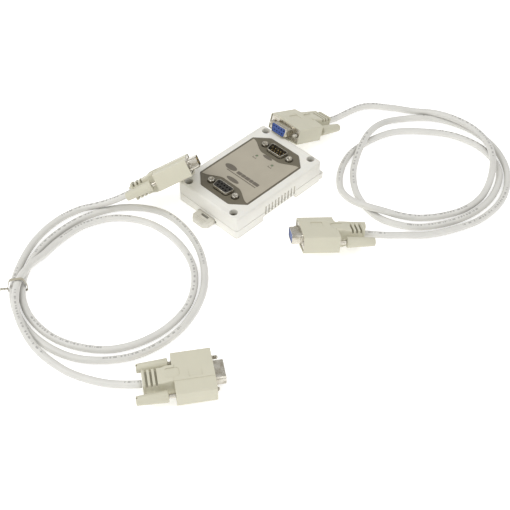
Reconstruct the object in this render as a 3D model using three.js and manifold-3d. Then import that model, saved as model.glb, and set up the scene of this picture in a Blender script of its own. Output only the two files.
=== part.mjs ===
// A DIN-rail serial signal converter with its two serial leads, in millimetres, +Z up.
// X is the converter's short side and Y its long side. Shapes are placed from the middle of its
// case; the finished group then stands with the middle of its whole outline, latch tab and lugs
// included, on the origin.
import * as THREE from 'three';
import { mergeVertices } from 'three/addons/utils/BufferGeometryUtils.js';
import Module from 'manifold-3d';

const wasm = await Module();
wasm.setup();

// ---------------------------------------------------------------- driving dimensions
const CASE_W = 62;            // X
const CASE_L = 91;            // Y
const CASE_H = 19.7;          // Z
const CASE_CORNER = 3.2;      // plan corner radius
const TOP_ROUND = 1.8;        // rounding of the cover's top edge
const WALL = 2;
const BASE_H = 7.4;           // height of the lower half
const FLOOR = 2;
const FIT = 0.3;              // gap between pieces that touch
const SLIDE_FIT = 0.4;        // gap beside the sliding latch

const RAIL_W = 35.5;          // DIN-rail channel under the case, along X
const RAIL_Y0 = -17.5;
const RAIL_DEPTH = 4;
const RAIL_PAD = 0.2;         // height of the raised seat in the channel
const PAD_SIDE = 9;           // seat and hooks, in from the case's sides
const HOOK_SIDE = 11;
const HOOK_W = 8;

const SCREW_SIDE = 7.5;       // cover screws, in from the case's sides and ends
const SCREW_END = 4.5;
const SCREW_D = 2.9;
const SCREW_HEAD_D = 5.6;
const SCREW_HEAD_H = 1.6;
const SCREW_SINK = 4.2;       // depth of the head below the top
const BOSS_R = 3.4;

const PORT_END = 16.8;        // port centres, in from the case's ends
const JACK_X = 12.5;          // jack post spacing is the D-sub standard 25 mm
const FLANGE_W = 30.8;
const FLANGE_D = 12.5;
const FLANGE_T = 0.8;
const FLANGE_SINK = 3.1;      // flanges below the top of the case
const SHELL_W = 16.9;
const SHELL_D = 8.3;
const SHELL_T = 0.5;
const SHELL_RISE = 5.2;
const PIN_PITCH = 2.76;
const ROW_GAP = 2.84;

const PLATE_SIDE = 6;         // label plate, in from the case's sides
const PLATE_SHOULDER = 17.5;  // where it narrows and where it stops, in from the case's ends
const PLATE_END = 8.1;
const PLATE_END_X = 14.3;     // half width of its ends
const PLATE_T = 0.6;
const PANEL_T = 0.25;
const PANEL_MARGIN = 1.3;
const RECESS = 1;             // depth of the label recess

const BOARD_T = 1.6;
const BOARD_Z = BASE_H + 0.4;
const LED_X = 8;
const LED_Y = 15;
const LED_D = 1.8;

const LATCH_W = 16;
const LATCH_T = 4;
const LATCH_OUT = 10;         // how far the latch tab stands out of the end wall
const LATCH_TRAVEL = 3;
const LATCH_BITE = 1.4;       // reach of its tooth into the rail channel
const SPRING_L = 13.2;        // latch spring, and how far it stays back from the channel
const SPRING_BACK = 3.3;
const LUG_SIDE = 5;           // two fixed lugs at the other end, in from the sides
const LUG_W = 8;
const LUG_OUT = 4.6;
const LUG_H = 4.6;
const VENT_N = 10;
const VENT_PITCH = 3.4;
const VENT_W = 1.5;
const VENT_BELOW = 6.7;       // top of the grooves below the top of the case
const VENT_DEPTH = 0.9;       // blind grooves, not slots

const CABLE_D = 5.2;
const PLUG_WALL = 1.1;        // moulded plug hood: beside the connector's flange
const PLUG_L = 26;
const PLUG_SIDE_H = 12.6;
const PLUG_STRIP_W = 13;
const PLUG_STRIP_H = 15.5;
const NECK_W = 12.6;
const NECK_H = 12.2;
const NECK_L = 19.6;
const PLUG_SHELL_OUT = 6.8;   // how far the D shell stands out of the hood
const SHANK_L = 32.3;         // bare thumbscrew shank, from the knob to its tip
const KNOB_L = 20.5;
const KNOB_R0 = 4;
const KNOB_R1 = 3.1;
const SHANK_R = 1.5;

const SCREW_X = CASE_W / 2 - SCREW_SIDE;
const SCREW_Y = CASE_L / 2 - SCREW_END;
const PORT_Y = CASE_L / 2 - PORT_END;
const FLANGE_TOP = CASE_H - FLANGE_SINK;
const PLATE_X = CASE_W / 2 - PLATE_SIDE;
const PLATE_Y = CASE_L / 2 - PLATE_SHOULDER;
const PLATE_END_Y = CASE_L / 2 - PLATE_END;
const SPRING_Y1 = RAIL_Y0 - SPRING_BACK;
const SPRING_Y0 = SPRING_Y1 - SPRING_L;
const LUG_X = CASE_W / 2 - LUG_SIDE;
const VENT_TOP = CASE_H - VENT_BELOW;
const PLUG_W = FLANGE_W + 2 * PLUG_WALL;

// Where each plug lies: middle of its front face, the bearing and rise of the way it points,
// and its roll about that line, in degrees. `gaps` is how far each thumbscrew's knob stands off
// the back of the hood.
const PLUGS = {
  plug_near: { at: [110.2, -144.1, 8.1], bearing: 55.2, rise: 0, roll: 0, gaps: [2, 4.5], pins: true },
  plug_lean: { at: [-23.5, 6.2 - CASE_L / 2, CASE_H + 15.4], bearing: 59, rise: 22, roll: 35,
    gaps: [4, 4], pins: true },
  plug_far: { at: [-13, CASE_L / 2 + 5, CASE_H + 2.6], bearing: 265, rise: 19.5, roll: -4,
    gaps: [3.3, 3.3], pins: false },
  plug_side: { at: [68.8, -19.5, 13.3], bearing: 231, rise: 4.5, roll: -18.5,
    gaps: [5.4, 4], pins: false },
};

// ---------------------------------------------------------------- helpers
const group = new THREE.Group();
group.name = 'serial_converter_kit';

const FINISH = {
  caseShell: { color: 0xe9e7df, roughness: 0.55, metalness: 0 },
  plate: { color: 0x4c473a, roughness: 0.5, metalness: 0 },
  panel: { color: 0xb8b09b, roughness: 0.5, metalness: 0 },
  steel: { color: 0xb9b6ae, roughness: 0.35, metalness: 1 },
  gold: { color: 0xc9a54a, roughness: 0.3, metalness: 1 },
  black: { color: 0x17171a, roughness: 0.5, metalness: 0 },
  blue: { color: 0x24408f, roughness: 0.45, metalness: 0 },
  board: { color: 0x1d5a38, roughness: 0.5, metalness: 0 },
  lens: { color: 0x6f8f63, roughness: 0.2, metalness: 0 },
  hood: { color: 0xd3cdb6, roughness: 0.55, metalness: 0 },
  cable: { color: 0xd9d8d0, roughness: 0.5, metalness: 0 },
  tie: { color: 0xada894, roughness: 0.5, metalness: 0 },
};

function solid(geometry) {
  const g = geometry.clone();
  for (const name of Object.keys(g.attributes)) if (name !== 'position') g.deleteAttribute(name);
  const m = mergeVertices(g, 1e-4);
  return new wasm.Manifold(new wasm.Mesh({
    numProp: 3,
    vertProperties: new Float32Array(m.attributes.position.array),
    triVerts: new Uint32Array(m.index.array),
  }));
}

function geometryOf(manifold) {
  const mesh = manifold.getMesh();
  const g = new THREE.BufferGeometry();
  g.setAttribute('position', new THREE.BufferAttribute(new Float32Array(mesh.vertProperties), 3));
  g.setIndex(Array.from(mesh.triVerts));
  g.computeVertexNormals();
  return g;
}

function add(name, shape, finish, matrix) {
  const geometry = shape.isBufferGeometry ? shape : geometryOf(shape);
  if (matrix) geometry.applyMatrix4(matrix);
  const mesh = new THREE.Mesh(geometry, new THREE.MeshStandardMaterial(FINISH[finish]));
  mesh.name = name;
  group.add(mesh);
  return mesh;
}

const joined = (first, ...rest) => rest.reduce((a, b) => a.add(b), first);
const cut = (first, ...rest) => rest.reduce((a, b) => a.subtract(b), first);

function box(x0, x1, y0, y1, z0, z1) {
  const g = new THREE.BoxGeometry(x1 - x0, y1 - y0, z1 - z0);
  g.translate((x0 + x1) / 2, (y0 + y1) / 2, (z0 + z1) / 2);
  return solid(g);
}

// An upright cylinder or prism with `sides` faces.
function post(x, y, r, z0, z1, sides = 16) {
  const g = new THREE.CylinderGeometry(r, r, z1 - z0, sides);
  g.rotateX(Math.PI / 2);
  g.translate(x, y, (z0 + z1) / 2);
  return solid(g);
}

function prism(shape, z0, z1, curveSegments = 3) {
  const g = new THREE.ExtrudeGeometry(shape, { depth: z1 - z0, bevelEnabled: false, curveSegments });
  g.translate(0, 0, z0);
  return solid(g);
}

// A closed outline through `points` ([x, y, corner radius]) with rounded corners.
function outline(points) {
  const shape = new THREE.Shape();
  const n = points.length;
  points.forEach(([x, y, r], i) => {
    const here = new THREE.Vector2(x, y);
    const before = new THREE.Vector2(...points[(i + n - 1) % n]).sub(here).normalize();
    const after = new THREE.Vector2(...points[(i + 1) % n]).sub(here).normalize();
    const half = Math.acos(THREE.MathUtils.clamp(before.dot(after), -1, 1)) / 2;
    const back = (r || 0) / Math.tan(half);
    const a = here.clone().addScaledVector(before, back);
    const b = here.clone().addScaledVector(after, back);
    if (i === 0) shape.moveTo(a.x, a.y);
    else shape.lineTo(a.x, a.y);
    if (r) shape.quadraticCurveTo(x, y, b.x, b.y);
  });
  shape.closePath();
  return shape;
}

function roundRect(w, d, r, cx = 0, cy = 0) {
  const [x, y] = [w / 2, d / 2];
  return outline([[cx - x, cy - y, r], [cx + x, cy - y, r], [cx + x, cy + y, r], [cx - x, cy + y, r]]);
}

// The D outline of a nine-way connector, wide side towards +Y, grown by `grow` all round.
function dOutline(w, d, grow = 0) {
  const [x, y] = [w / 2 + grow, d / 2 + grow];
  const slope = 2 * y * Math.tan(THREE.MathUtils.degToRad(10));
  const r = Math.max(0.6, 2.2 + grow);
  return outline([[-x + slope, -y, r], [x - slope, -y, r], [x, y, r], [-x, y, r]]);
}

// Pin places of a nine-way connector: five in the wide row, four in the other.
function pinPlaces() {
  const places = [];
  for (let i = 0; i < 5; i++) places.push([(i - 2) * PIN_PITCH, ROW_GAP / 2]);
  for (let i = 0; i < 4; i++) places.push([(i - 1.5) * PIN_PITCH, -ROW_GAP / 2]);
  return places;
}

const corners = [[-1, -1], [1, -1], [1, 1], [-1, 1]];

// ---------------------------------------------------------------- the case
// One cutter for each vent groove, in both long sides.
function ventGrooves(z0, z1) {
  const grooves = [];
  for (let i = 0; i < VENT_N; i++) {
    const y = RAIL_Y0 + RAIL_W / 2 + (i - (VENT_N - 1) / 2) * VENT_PITCH;
    for (const side of [-1, 1]) {
      const [x0, x1] = [side * (CASE_W / 2 - VENT_DEPTH), side * (CASE_W / 2 + 1)].sort((a, b) => a - b);
      grooves.push(box(x0, x1, y - VENT_W / 2, y + VENT_W / 2, z0, z1));
    }
  }
  return grooves;
}

function baseHousing() {
  const [hx, hy] = [CASE_W / 2, CASE_L / 2];
  const railY1 = RAIL_Y0 + RAIL_W;
  const guideHalf = LATCH_W / 2 + SLIDE_FIT;
  const guideTop = 0.6 + LATCH_T + SLIDE_FIT;
  const innerZ = RAIL_DEPTH + FLOOR;
  let body = prism(roundRect(CASE_W, CASE_L, CASE_CORNER), 0, BASE_H);
  for (const side of [-1, 1]) {
    body = body.add(prism(roundRect(LUG_W, 2 * LUG_OUT + 4, 2, side * LUG_X, hy - 2), 0, LUG_H));
  }
  body = cut(body,
    prism(roundRect(CASE_W - 2 * WALL, CASE_L - 2 * WALL, CASE_CORNER - 1), innerZ, BASE_H + 1),
    box(-hx - 1, hx + 1, RAIL_Y0, railY1, -1, RAIL_DEPTH),
    // far pocket and the two near pockets beside the latch guide
    box(-hx + WALL, hx - WALL, railY1 + WALL, hy - WALL, FLOOR, BASE_H + 1));
  for (const side of [-1, 1]) {
    const [x0, x1] = [guideHalf + 3, hx - WALL].map((x) => side * x).sort((a, b) => a - b);
    body = body.subtract(box(x0, x1, -hy + WALL, RAIL_Y0 - WALL, FLOOR, BASE_H + 1));
  }
  // latch guide with a groove each side for the latch's ribs, open underneath
  body = cut(body,
    box(-guideHalf, guideHalf, -hy - 1, RAIL_Y0 + 1, -1, guideTop),
    box(-guideHalf - 1.4, guideHalf + 1.4, -hy - 1, RAIL_Y0 + 1, 1.6, 3.6));
  const padX = hx - PAD_SIDE;
  body = body.add(box(-padX, padX, RAIL_Y0 + 6, railY1 - 4, RAIL_DEPTH - RAIL_PAD, RAIL_DEPTH + 1));
  // fixed rib in the latch's window, which the latch spring pushes against
  body = body.add(box(-2.4, 2.4, SPRING_Y0 - FIT - 1.6, SPRING_Y0 - FIT, 1, guideTop + 0.5));
  // fixed hooks that hold the rail's other edge
  for (const side of [-1, 1]) {
    const x = side * (hx - HOOK_SIDE);
    body = body.add(box(x - HOOK_W / 2, x + HOOK_W / 2, railY1 - 1.3, railY1 + 0.5, 0, 1.6));
  }
  // screw bosses
  for (const [sx, sy] of corners) {
    const [x, y] = [sx * SCREW_X, sy * SCREW_Y];
    body = cut(body.add(post(x, y, BOSS_R, FLOOR - 0.5, BASE_H - 0.2)),
      post(x, y, SCREW_D / 2 + 0.2, FLOOR, BASE_H + 1, 10));
  }
  return cut(body, ...ventGrooves(5, BASE_H + 1));
}

const coverZ = BASE_H + FIT;
const ceiling = CASE_H - WALL;

function labelOutline(grow) {
  const [a, b, c, d] = [PLATE_X + grow, PLATE_Y + grow, PLATE_END_X + grow, PLATE_END_Y + grow];
  return outline([[-a, -b, 1.5], [-c, -d, 4], [c, -d, 4], [a, -b, 1.5],
    [a, b, 1.5], [c, d, 4], [-c, d, 4], [-a, b, 1.5]]);
}

// Everything that the cover, the label plate and the panel leave open for the ports and lights.
function topOpenings(z0, z1, extra = 0) {
  const holes = [];
  for (const end of [-1, 1]) {
    const shape = prism(dOutline(SHELL_W, SHELL_D, 0.45 + extra), z0, z1);
    holes.push(shape.translate([0, end * PORT_Y, 0]));
    for (const side of [-1, 1]) holes.push(post(side * JACK_X, end * PORT_Y, 2.95 + extra, z0, z1));
  }
  for (const side of [-1, 1]) holes.push(post(side * LED_X, LED_Y, LED_D / 2 + 0.2, z0, z1, 14));
  return holes;
}

function topCover() {
  const bevel = { bevelEnabled: true, bevelThickness: TOP_ROUND, bevelSize: TOP_ROUND,
    bevelOffset: -TOP_ROUND, bevelSegments: 3, curveSegments: 4 };
  const block = new THREE.ExtrudeGeometry(roundRect(CASE_W, CASE_L, CASE_CORNER),
    { depth: CASE_H - TOP_ROUND, ...bevel });
  let body = solid(block).intersect(box(-CASE_W, CASE_W, -CASE_L, CASE_L, coverZ, CASE_H + 5));
  body = body.subtract(
    prism(roundRect(CASE_W - 2 * WALL, CASE_L - 2 * WALL, CASE_CORNER - 1), coverZ - 1, ceiling));
  for (const [sx, sy] of corners) {
    const [x, y] = [sx * SCREW_X, sy * SCREW_Y];
    const seat = CASE_H - SCREW_SINK - SCREW_HEAD_H;
    body = cut(body.add(post(x, y, 4.6, BOARD_Z + 1.2, ceiling + 0.5)
      .intersect(box(-CASE_W / 2 + 1, CASE_W / 2 - 1, -CASE_L / 2 + 1, CASE_L / 2 - 1, 0, CASE_H))),
    post(x, y, SCREW_HEAD_D / 2 + 0.3, seat, CASE_H + 1),
    post(x, y, SCREW_D / 2 + 0.3, 0, CASE_H, 10));
  }
  body = body.subtract(prism(labelOutline(FIT), CASE_H - RECESS, CASE_H + 1));
  body = cut(body, ...topOpenings(ceiling - 1, CASE_H + 1));
  return cut(body, ...ventGrooves(0, VENT_TOP));
}

const plateZ = CASE_H - RECESS + 0.1;

function labelPlate() {
  return cut(prism(labelOutline(0), plateZ, plateZ + PLATE_T), ...topOpenings(0, 30, 0.1));
}

// The lighter panel: straight long sides, ends hollowed round the two ports.
function labelPanel() {
  const z = plateZ + PLATE_T + 0.05;
  const [x, y] = [PLATE_X - PANEL_MARGIN, PLATE_Y - 0.6];
  const [innerX, innerY] = [11, PORT_Y - 8.3];
  const shape = new THREE.Shape();
  shape.moveTo(-x, -y);
  shape.bezierCurveTo(-x + 4.5, -y - 0.5, -innerX - 2, -innerY - 0.5, -innerX + 3, -innerY);
  shape.lineTo(innerX - 3, -innerY);
  shape.bezierCurveTo(innerX + 2, -innerY - 0.5, x - 4.5, -y - 0.5, x, -y);
  shape.lineTo(x, y);
  shape.bezierCurveTo(x - 4.5, y + 0.5, innerX + 2, innerY + 0.5, innerX - 3, innerY);
  shape.lineTo(-innerX + 3, innerY);
  shape.bezierCurveTo(-innerX - 2, innerY + 0.5, -x + 4.5, y + 0.5, -x, y);
  shape.closePath();
  return cut(prism(shape, z, z + PANEL_T, 8), ...topOpenings(0, 30, 0.2));
}

function coverScrew(x, y) {
  const top = CASE_H - SCREW_SINK;
  const seat = top - SCREW_HEAD_H + 0.1;
  const head = post(x, y, SCREW_HEAD_D / 2, seat, top);
  const cross = joined(box(x - 1.5, x + 1.5, y - 0.35, y + 0.35, top - 0.9, top + 1),
    box(x - 0.35, x + 0.35, y - 1.5, y + 1.5, top - 0.9, top + 1));
  return cut(head.add(post(x, y, SCREW_D / 2, FLOOR + 0.6, seat + 0.2, 10)), cross);
}

function circuitBoard() {
  const [hx, hy] = [CASE_W / 2 - WALL - 0.5, CASE_L / 2 - WALL - 0.5];
  let board = box(-hx, hx, -hy, hy, BOARD_Z, BOARD_Z + BOARD_T);
  for (const [sx, sy] of corners) {
    const [x0, x1] = [sx * (SCREW_X - 5), sx * (hx + 1)].sort((a, b) => a - b);
    const [y0, y1] = [sy * (SCREW_Y - 5), sy * (hy + 1)].sort((a, b) => a - b);
    board = board.subtract(box(x0, x1, y0, y1, 0, 20));
  }
  return board;
}

// ---------------------------------------------------------------- the two ports on the case
const boardTop = BOARD_Z + BOARD_T;

function portShell(y) {
  const z = FLANGE_TOP;
  const flange = prism(roundRect(FLANGE_W, FLANGE_D, 1.5), z - FLANGE_T, z);
  const tube = prism(dOutline(SHELL_W, SHELL_D), z - FLANGE_T, z + SHELL_RISE);
  let body = cut(flange.add(tube), prism(dOutline(SHELL_W, SHELL_D, -SHELL_T), 0, 30));
  for (const side of [-1, 1]) body = body.subtract(post(side * JACK_X, 0, 1.75, 0, 30, 14));
  return body.translate([0, y, 0]);
}

function portInsulator(y, sockets) {
  const z = FLANGE_TOP - FLANGE_T - 0.1;
  const top = sockets ? FLANGE_TOP + SHELL_RISE - 0.3 : FLANGE_TOP + 0.6;
  let body = joined(prism(roundRect(19, 10.6, 1), boardTop + 1, z),
    prism(dOutline(SHELL_W, SHELL_D, -SHELL_T - 0.15), z - 0.5, top));
  for (const [x, py] of pinPlaces()) body = body.subtract(post(x, py, sockets ? 0.75 : 0.65, 0, 30, 8));
  return body.translate([0, y, 0]);
}

// Nine contacts on the strip that holds them behind the insulator.
function portContacts(y, sockets) {
  const z0 = boardTop + 0.2;
  let body = box(-6.4, 6.4, -2, 2, z0, z0 + 0.5);
  const top = FLANGE_TOP + SHELL_RISE - (sockets ? 2 : 0.8);
  for (const [x, py] of pinPlaces()) body = body.add(post(x, py, 0.45, z0, top, 6));
  return body.translate([0, y, 0]);
}

function jackPost(x, y) {
  const z = FLANGE_TOP + 0.1;
  const top = FLANGE_TOP + SHELL_RISE - 0.5;
  return cut(joined(post(x, y, 2.7, z, top, 6), post(x, y, 1.45, boardTop + 0.2, z + 0.2, 12)),
    post(x, y, 1.4, z + 0.8, top + 1, 12));
}

// ---------------------------------------------------------------- rail latch
function dinLatch() {
  const y0 = -CASE_L / 2 - LATCH_OUT;
  const y1 = RAIL_Y0 + LATCH_BITE - 0.2;
  const [h, z0] = [LATCH_W / 2, 0.6];
  const plan = outline([[-h + 3, y0, 0.8], [h - 3, y0, 0.8], [h, y0 + 3.4, 0.8], [h, y1, 0],
    [-h, y1, 0], [-h, y0 + 3.4, 0.8]]);
  let body = prism(plan, z0, z0 + LATCH_T);
  body = cut(body,
    // tooth: only the lower lip reaches into the rail channel
    box(-h - 1, h + 1, RAIL_Y0 - 0.6, y1 + 1, z0 + 1.4, 10),
    // screwdriver slot and the window that holds the spring
    box(-3.6, 3.6, -CASE_L / 2 - 3.2, -CASE_L / 2 - 1, -1, 10),
    box(-3.2, 3.2, SPRING_Y0 - 2.2 - LATCH_TRAVEL / 2, SPRING_Y1 + FIT, -1, 10));
  const ribs = box(-h - 1, h + 1, -CASE_L / 2 + 4, RAIL_Y0 - 2, 2, 3.2);
  return body.add(ribs.subtract(box(-h + 0.5, h - 0.5, -90, 90, 0, 10)));
}

// A closed-ended coil spring lying along Y in the latch window.
function latchSpring() {
  const [turns, r, wire] = [6, 1.45, 0.3];
  const [y0, y1] = [SPRING_Y0 + wire, SPRING_Y1 - wire];
  const z = 0.6 + LATCH_T / 2;
  class Coil extends THREE.Curve {
    getPoint(t, target = new THREE.Vector3()) {
      const a = 2 * Math.PI * turns * t;
      return target.set(r * Math.cos(a), y0 + (y1 - y0) * t, z + r * Math.sin(a));
    }
  }
  const section = new THREE.Shape().absarc(0, 0, wire, 0, 2 * Math.PI);
  return new THREE.ExtrudeGeometry(section,
    { steps: turns * 10, bevelEnabled: false, curveSegments: 3, extrudePath: new Coil() });
}

// ---------------------------------------------------------------- plugs
// In a plug's own frame +Y is the way it points, X its width and the front face is y = 0.
function frameOf({ at, bearing, rise, roll }) {
  const [b, e, r] = [bearing, rise, roll].map(THREE.MathUtils.degToRad);
  const way = new THREE.Vector3(Math.cos(b) * Math.cos(e), Math.sin(b) * Math.cos(e), Math.sin(e));
  const level = new THREE.Vector3(Math.sin(b), -Math.cos(b), 0);
  const across = level.clone().applyAxisAngle(way, -r);
  const up = new THREE.Vector3().crossVectors(across, way);
  return new THREE.Matrix4().makeBasis(across, way, up).setPosition(...at);
}

// Turns a shape drawn in X and Y, extruded up Z, so that it runs along Y from y0 to y1.
function along(shape, y0, y1, curveSegments = 3) {
  const g = new THREE.ExtrudeGeometry(shape, { depth: y1 - y0, bevelEnabled: false, curveSegments });
  g.rotateX(Math.PI / 2);
  g.rotateZ(Math.PI);
  g.translate(0, y0, 0);
  return solid(g);
}

function rod(x, z, r, y0, y1, sides = 12) {
  const g = new THREE.CylinderGeometry(r, r, y1 - y0, sides);
  g.translate(x, (y0 + y1) / 2, z);
  return solid(g);
}

const pocket = 1.6;
const pocketH = PLUG_SIDE_H - 1.2;
const plugFlangeD = pocketH - 2 * FIT;

function plugHood() {
  const [w, side, sw, strip] = [PLUG_W / 2, PLUG_SIDE_H / 2, PLUG_STRIP_W / 2, PLUG_STRIP_H / 2];
  const shoulder = side + 0.6;
  const half = [[w, -side, 1], [w, side, 1], [sw + 0.4, shoulder, 0], [sw, strip, 0.3]];
  const mirrored = half.map(([x, z, r]) => [-x, -z, r]);
  let body = along(outline([...half, ...mirrored]), -PLUG_L, 0);
  // the neck, tapering to a square strain relief with cross slots and an end cap
  const rear = -PLUG_L - NECK_L;
  body = body.add(along(roundRect(PLUG_STRIP_W, PLUG_STRIP_H - 0.8, 1), -PLUG_L - 4, -PLUG_L + 1));
  body = body.add(along(roundRect(NECK_W, NECK_H, 1.2), rear, -PLUG_L - 3));
  body = body.add(along(roundRect(NECK_W + 0.6, NECK_H + 0.6, 1.2), rear, rear + 1.2));
  for (let i = 0; i < 3; i++) {
    const y = rear + 1.8 + i * 3.1;
    for (const face of [-1, 1]) {
      const z = face * (NECK_H / 2 - 1.1);
      body = body.subtract(box(-NECK_W, NECK_W, y, y + 1.5, z - 1.3, z + 1.3));
    }
  }
  // a shallow square window in the raised strip, above and below
  for (const face of [-1, 1]) {
    const z = face * strip;
    body = body.subtract(box(-5.2, 5.2, -16.4, -7.8, z - 0.5, z + 0.5));
  }
  // front pocket for the connector, room behind it, and the thumbscrew bores
  body = cut(body, along(roundRect(FLANGE_W + 1, pocketH, 0.8), -pocket, 1), box(-10, 10, -4, -4 + 3, -4, 4)
    .translate([0, 0.2, 0]));
  for (const end of [-1, 1]) body = body.subtract(rod(end * JACK_X, 0, SHANK_R + 0.4, -PLUG_L - 1, 1));
  return body;
}

function plugShell(pins) {
  const [w, d] = pins ? [SHELL_W, SHELL_D] : [SHELL_W - 0.6, SHELL_D - 0.4];
  const [y0, y1] = [-pocket + 0.3, -pocket + 0.3 + FLANGE_T];
  let body = joined(along(roundRect(FLANGE_W, plugFlangeD, 0.8), y0, y1),
    along(dOutline(w, d), y0, PLUG_SHELL_OUT));
  body = body.subtract(along(dOutline(w, d, -SHELL_T), -9, 20));
  for (const end of [-1, 1]) body = body.subtract(rod(end * JACK_X, 0, SHANK_R + 0.4, -9, 9));
  return body;
}

function plugInsulator(pins) {
  const [w, d] = pins ? [SHELL_W, SHELL_D] : [SHELL_W - 0.6, SHELL_D - 0.4];
  const front = pins ? 0.6 : PLUG_SHELL_OUT - 0.3;
  let body = along(dOutline(w, d, -SHELL_T - 0.15), -2.2, front);
  for (const [x, z] of pinPlaces()) {
    body = body.subtract(pins ? rod(x, z, 0.65, -9, 9, 8) : rod(x, z, 0.6, 1.5, 20, 6));
  }
  return body;
}

function plugPins() {
  let body = box(-6.4, 6.4, -3.3, -2.7, -2, 2);
  for (const [x, z] of pinPlaces()) body = body.add(rod(x, z, 0.45, -3.3, PLUG_SHELL_OUT - 0.8, 6));
  return body;
}

function thumbscrew(end, gap) {
  const y0 = -PLUG_L - gap;
  const tip = y0 + SHANK_L;
  const profile = [[0, y0 - KNOB_L], [KNOB_R1 - 0.5, y0 - KNOB_L], [KNOB_R1, y0 - KNOB_L + 0.5],
    [KNOB_R0, y0 - 0.6], [KNOB_R0 - 0.5, y0], [SHANK_R, y0], [SHANK_R, tip - 0.6],
    [SHANK_R - 0.5, tip], [0, tip]];
  const g = new THREE.LatheGeometry(profile.map(([r, y]) => new THREE.Vector2(r, y)), 12);
  g.translate(end * JACK_X, 0, 0);
  return solid(g);
}

function addPlug(name) {
  const plug = PLUGS[name];
  const m = frameOf(plug);
  add(`${name}_hood`, plugHood(), 'hood', m);
  add(`${name}_shell`, plugShell(plug.pins), 'steel', m);
  add(`${name}_insulator`, plugInsulator(plug.pins), plug.pins ? 'black' : 'blue', m);
  if (plug.pins) add(`${name}_pins`, plugPins(), 'gold', m);
  add(`${name}_screw_a`, thumbscrew(-1, plug.gaps[0]), 'hood', m);
  add(`${name}_screw_b`, thumbscrew(1, plug.gaps[1]), 'hood', m);
}

// ---------------------------------------------------------------- leads
// A lead runs from one plug to the other. Between them its loops are given round a centre as
// [bearing in degrees, distance, height]; plain [x, y, z] points lead in and out.
const LOOPS = {
  lead_left: {
    from: 'plug_lean', to: 'plug_near', centre: [-4, -135],
    start: [[-54, -87, 11.2], [-63, -97.5, 6.4]],
    turns: [[158, 73, 3.2], [172, 71.2, 2.8], [190, 67.8, 2.8], [210, 65.4, 2.8], [234, 66.5, 3.4],
      [254, 68.2, 2.8], [278, 70.2, 2.8], [304, 72.8, 2.8], [332, 72.6, 2.8], [360, 69.6, 2.8],
      [390, 66.8, 2.8], [418, 66, 2.8], [444, 68.4, 2.8], [468, 72.2, 2.8], [492, 69.8, 2.8],
      [514, 64.6, 2.8], [536, 60.4, 2.8], [562, 59, 2.8], [592, 60.3, 3.4], [618, 62, 2.8],
      [648, 63.2, 2.8], [680, 64.2, 2.8], [710, 62.6, 2.8], [740, 61, 2.8], [770, 58.6, 2.8],
      [800, 56.6, 2.8], [830, 58, 2.8], [856, 58.6, 2.8], [880, 56, 2.8], [904, 53, 2.8],
      [922, 53, 3.8], [938, 56.6, 7.4], [955, 62.6, 9], [972, 67.4, 8.8], [988, 72.2, 8],
      [1003, 77.6, 5], [1018, 82.8, 2.9]],
    finish: [[47, -204.5, 2.8], [66, -195, 3.8]],
  },
  lead_right: {
    from: 'plug_far', to: 'plug_side', centre: [86, 104],
    start: [[-8.4, 106, 3.2]],
    turns: [[160, 93.4, 3], [147, 84.8, 2.9], [134, 77.8, 3.4], [122, 73, 6.9], [109, 69.4, 8.4],
      [94, 66.8, 8.5], [79, 63, 8.4], [64, 57.8, 8.5], [48, 52.6, 7.9], [31, 49, 4.6],
      [12, 46.8, 2.8], [-12, 45.4, 2.8], [-38, 45.6, 2.8], [-58, 48.2, 2.8], [-72, 52, 4.6],
      [-84, 57.6, 8], [-95, 62.8, 8.5], [-107, 67, 6.4], [-121, 67.6, 3], [-138, 64.6, 2.8],
      [-158, 61, 2.8], [-180, 56.6, 2.8], [-206, 54.8, 2.8], [-232, 52.8, 2.8], [-258, 55.8, 2.8],
      [-284, 58.8, 2.8], [-310, 58.8, 2.8], [-338, 54.4, 2.8], [-364, 52.2, 2.8], [-392, 53.2, 2.8],
      [-420, 58.4, 2.8], [-445, 61.2, 2.8], [-470, 58.2, 2.8], [-495, 55, 2.8], [-515, 54.4, 4.2],
      [-530, 55.8, 7.8], [-544, 59.4, 8.5], [-558, 64, 6.8], [-574, 68.8, 3], [-598, 70.8, 2.8],
      [-622, 70.4, 2.8], [-646, 68, 2.8], [-672, 64.8, 2.8], [-700, 61.8, 2.8], [-728, 60.2, 2.8],
      [-752, 60.6, 2.8], [-770, 65, 3.2]],
    finish: [[118.5, 41, 5.6], [109, 26, 9.6]],
  },
};

const rearOf = (name, extra) => new THREE.Vector3(0, -PLUG_L - NECK_L - extra, 0)
  .applyMatrix4(frameOf(PLUGS[name]));

function leadPath({ from, to, centre, start, turns, finish }) {
  const round = turns.map(([deg, r, z]) => {
    const a = THREE.MathUtils.degToRad(deg);
    return new THREE.Vector3(centre[0] + r * Math.cos(a), centre[1] + r * Math.sin(a), z);
  });
  return new THREE.CatmullRomCurve3([
    rearOf(from, FIT), rearOf(from, 2), ...start.map((p) => new THREE.Vector3(...p)), ...round,
    ...finish.map((p) => new THREE.Vector3(...p)), rearOf(to, 2), rearOf(to, FIT),
  ], false, 'centripetal');
}

function lead(loops) {
  const path = leadPath(loops);
  path.arcLengthDivisions = 2000;
  const section = new THREE.Shape().absarc(0, 0, CABLE_D / 2, 0, 2 * Math.PI);
  return new THREE.ExtrudeGeometry(section,
    { steps: 80, bevelEnabled: false, curveSegments: 4, extrudePath: path });
}

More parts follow.
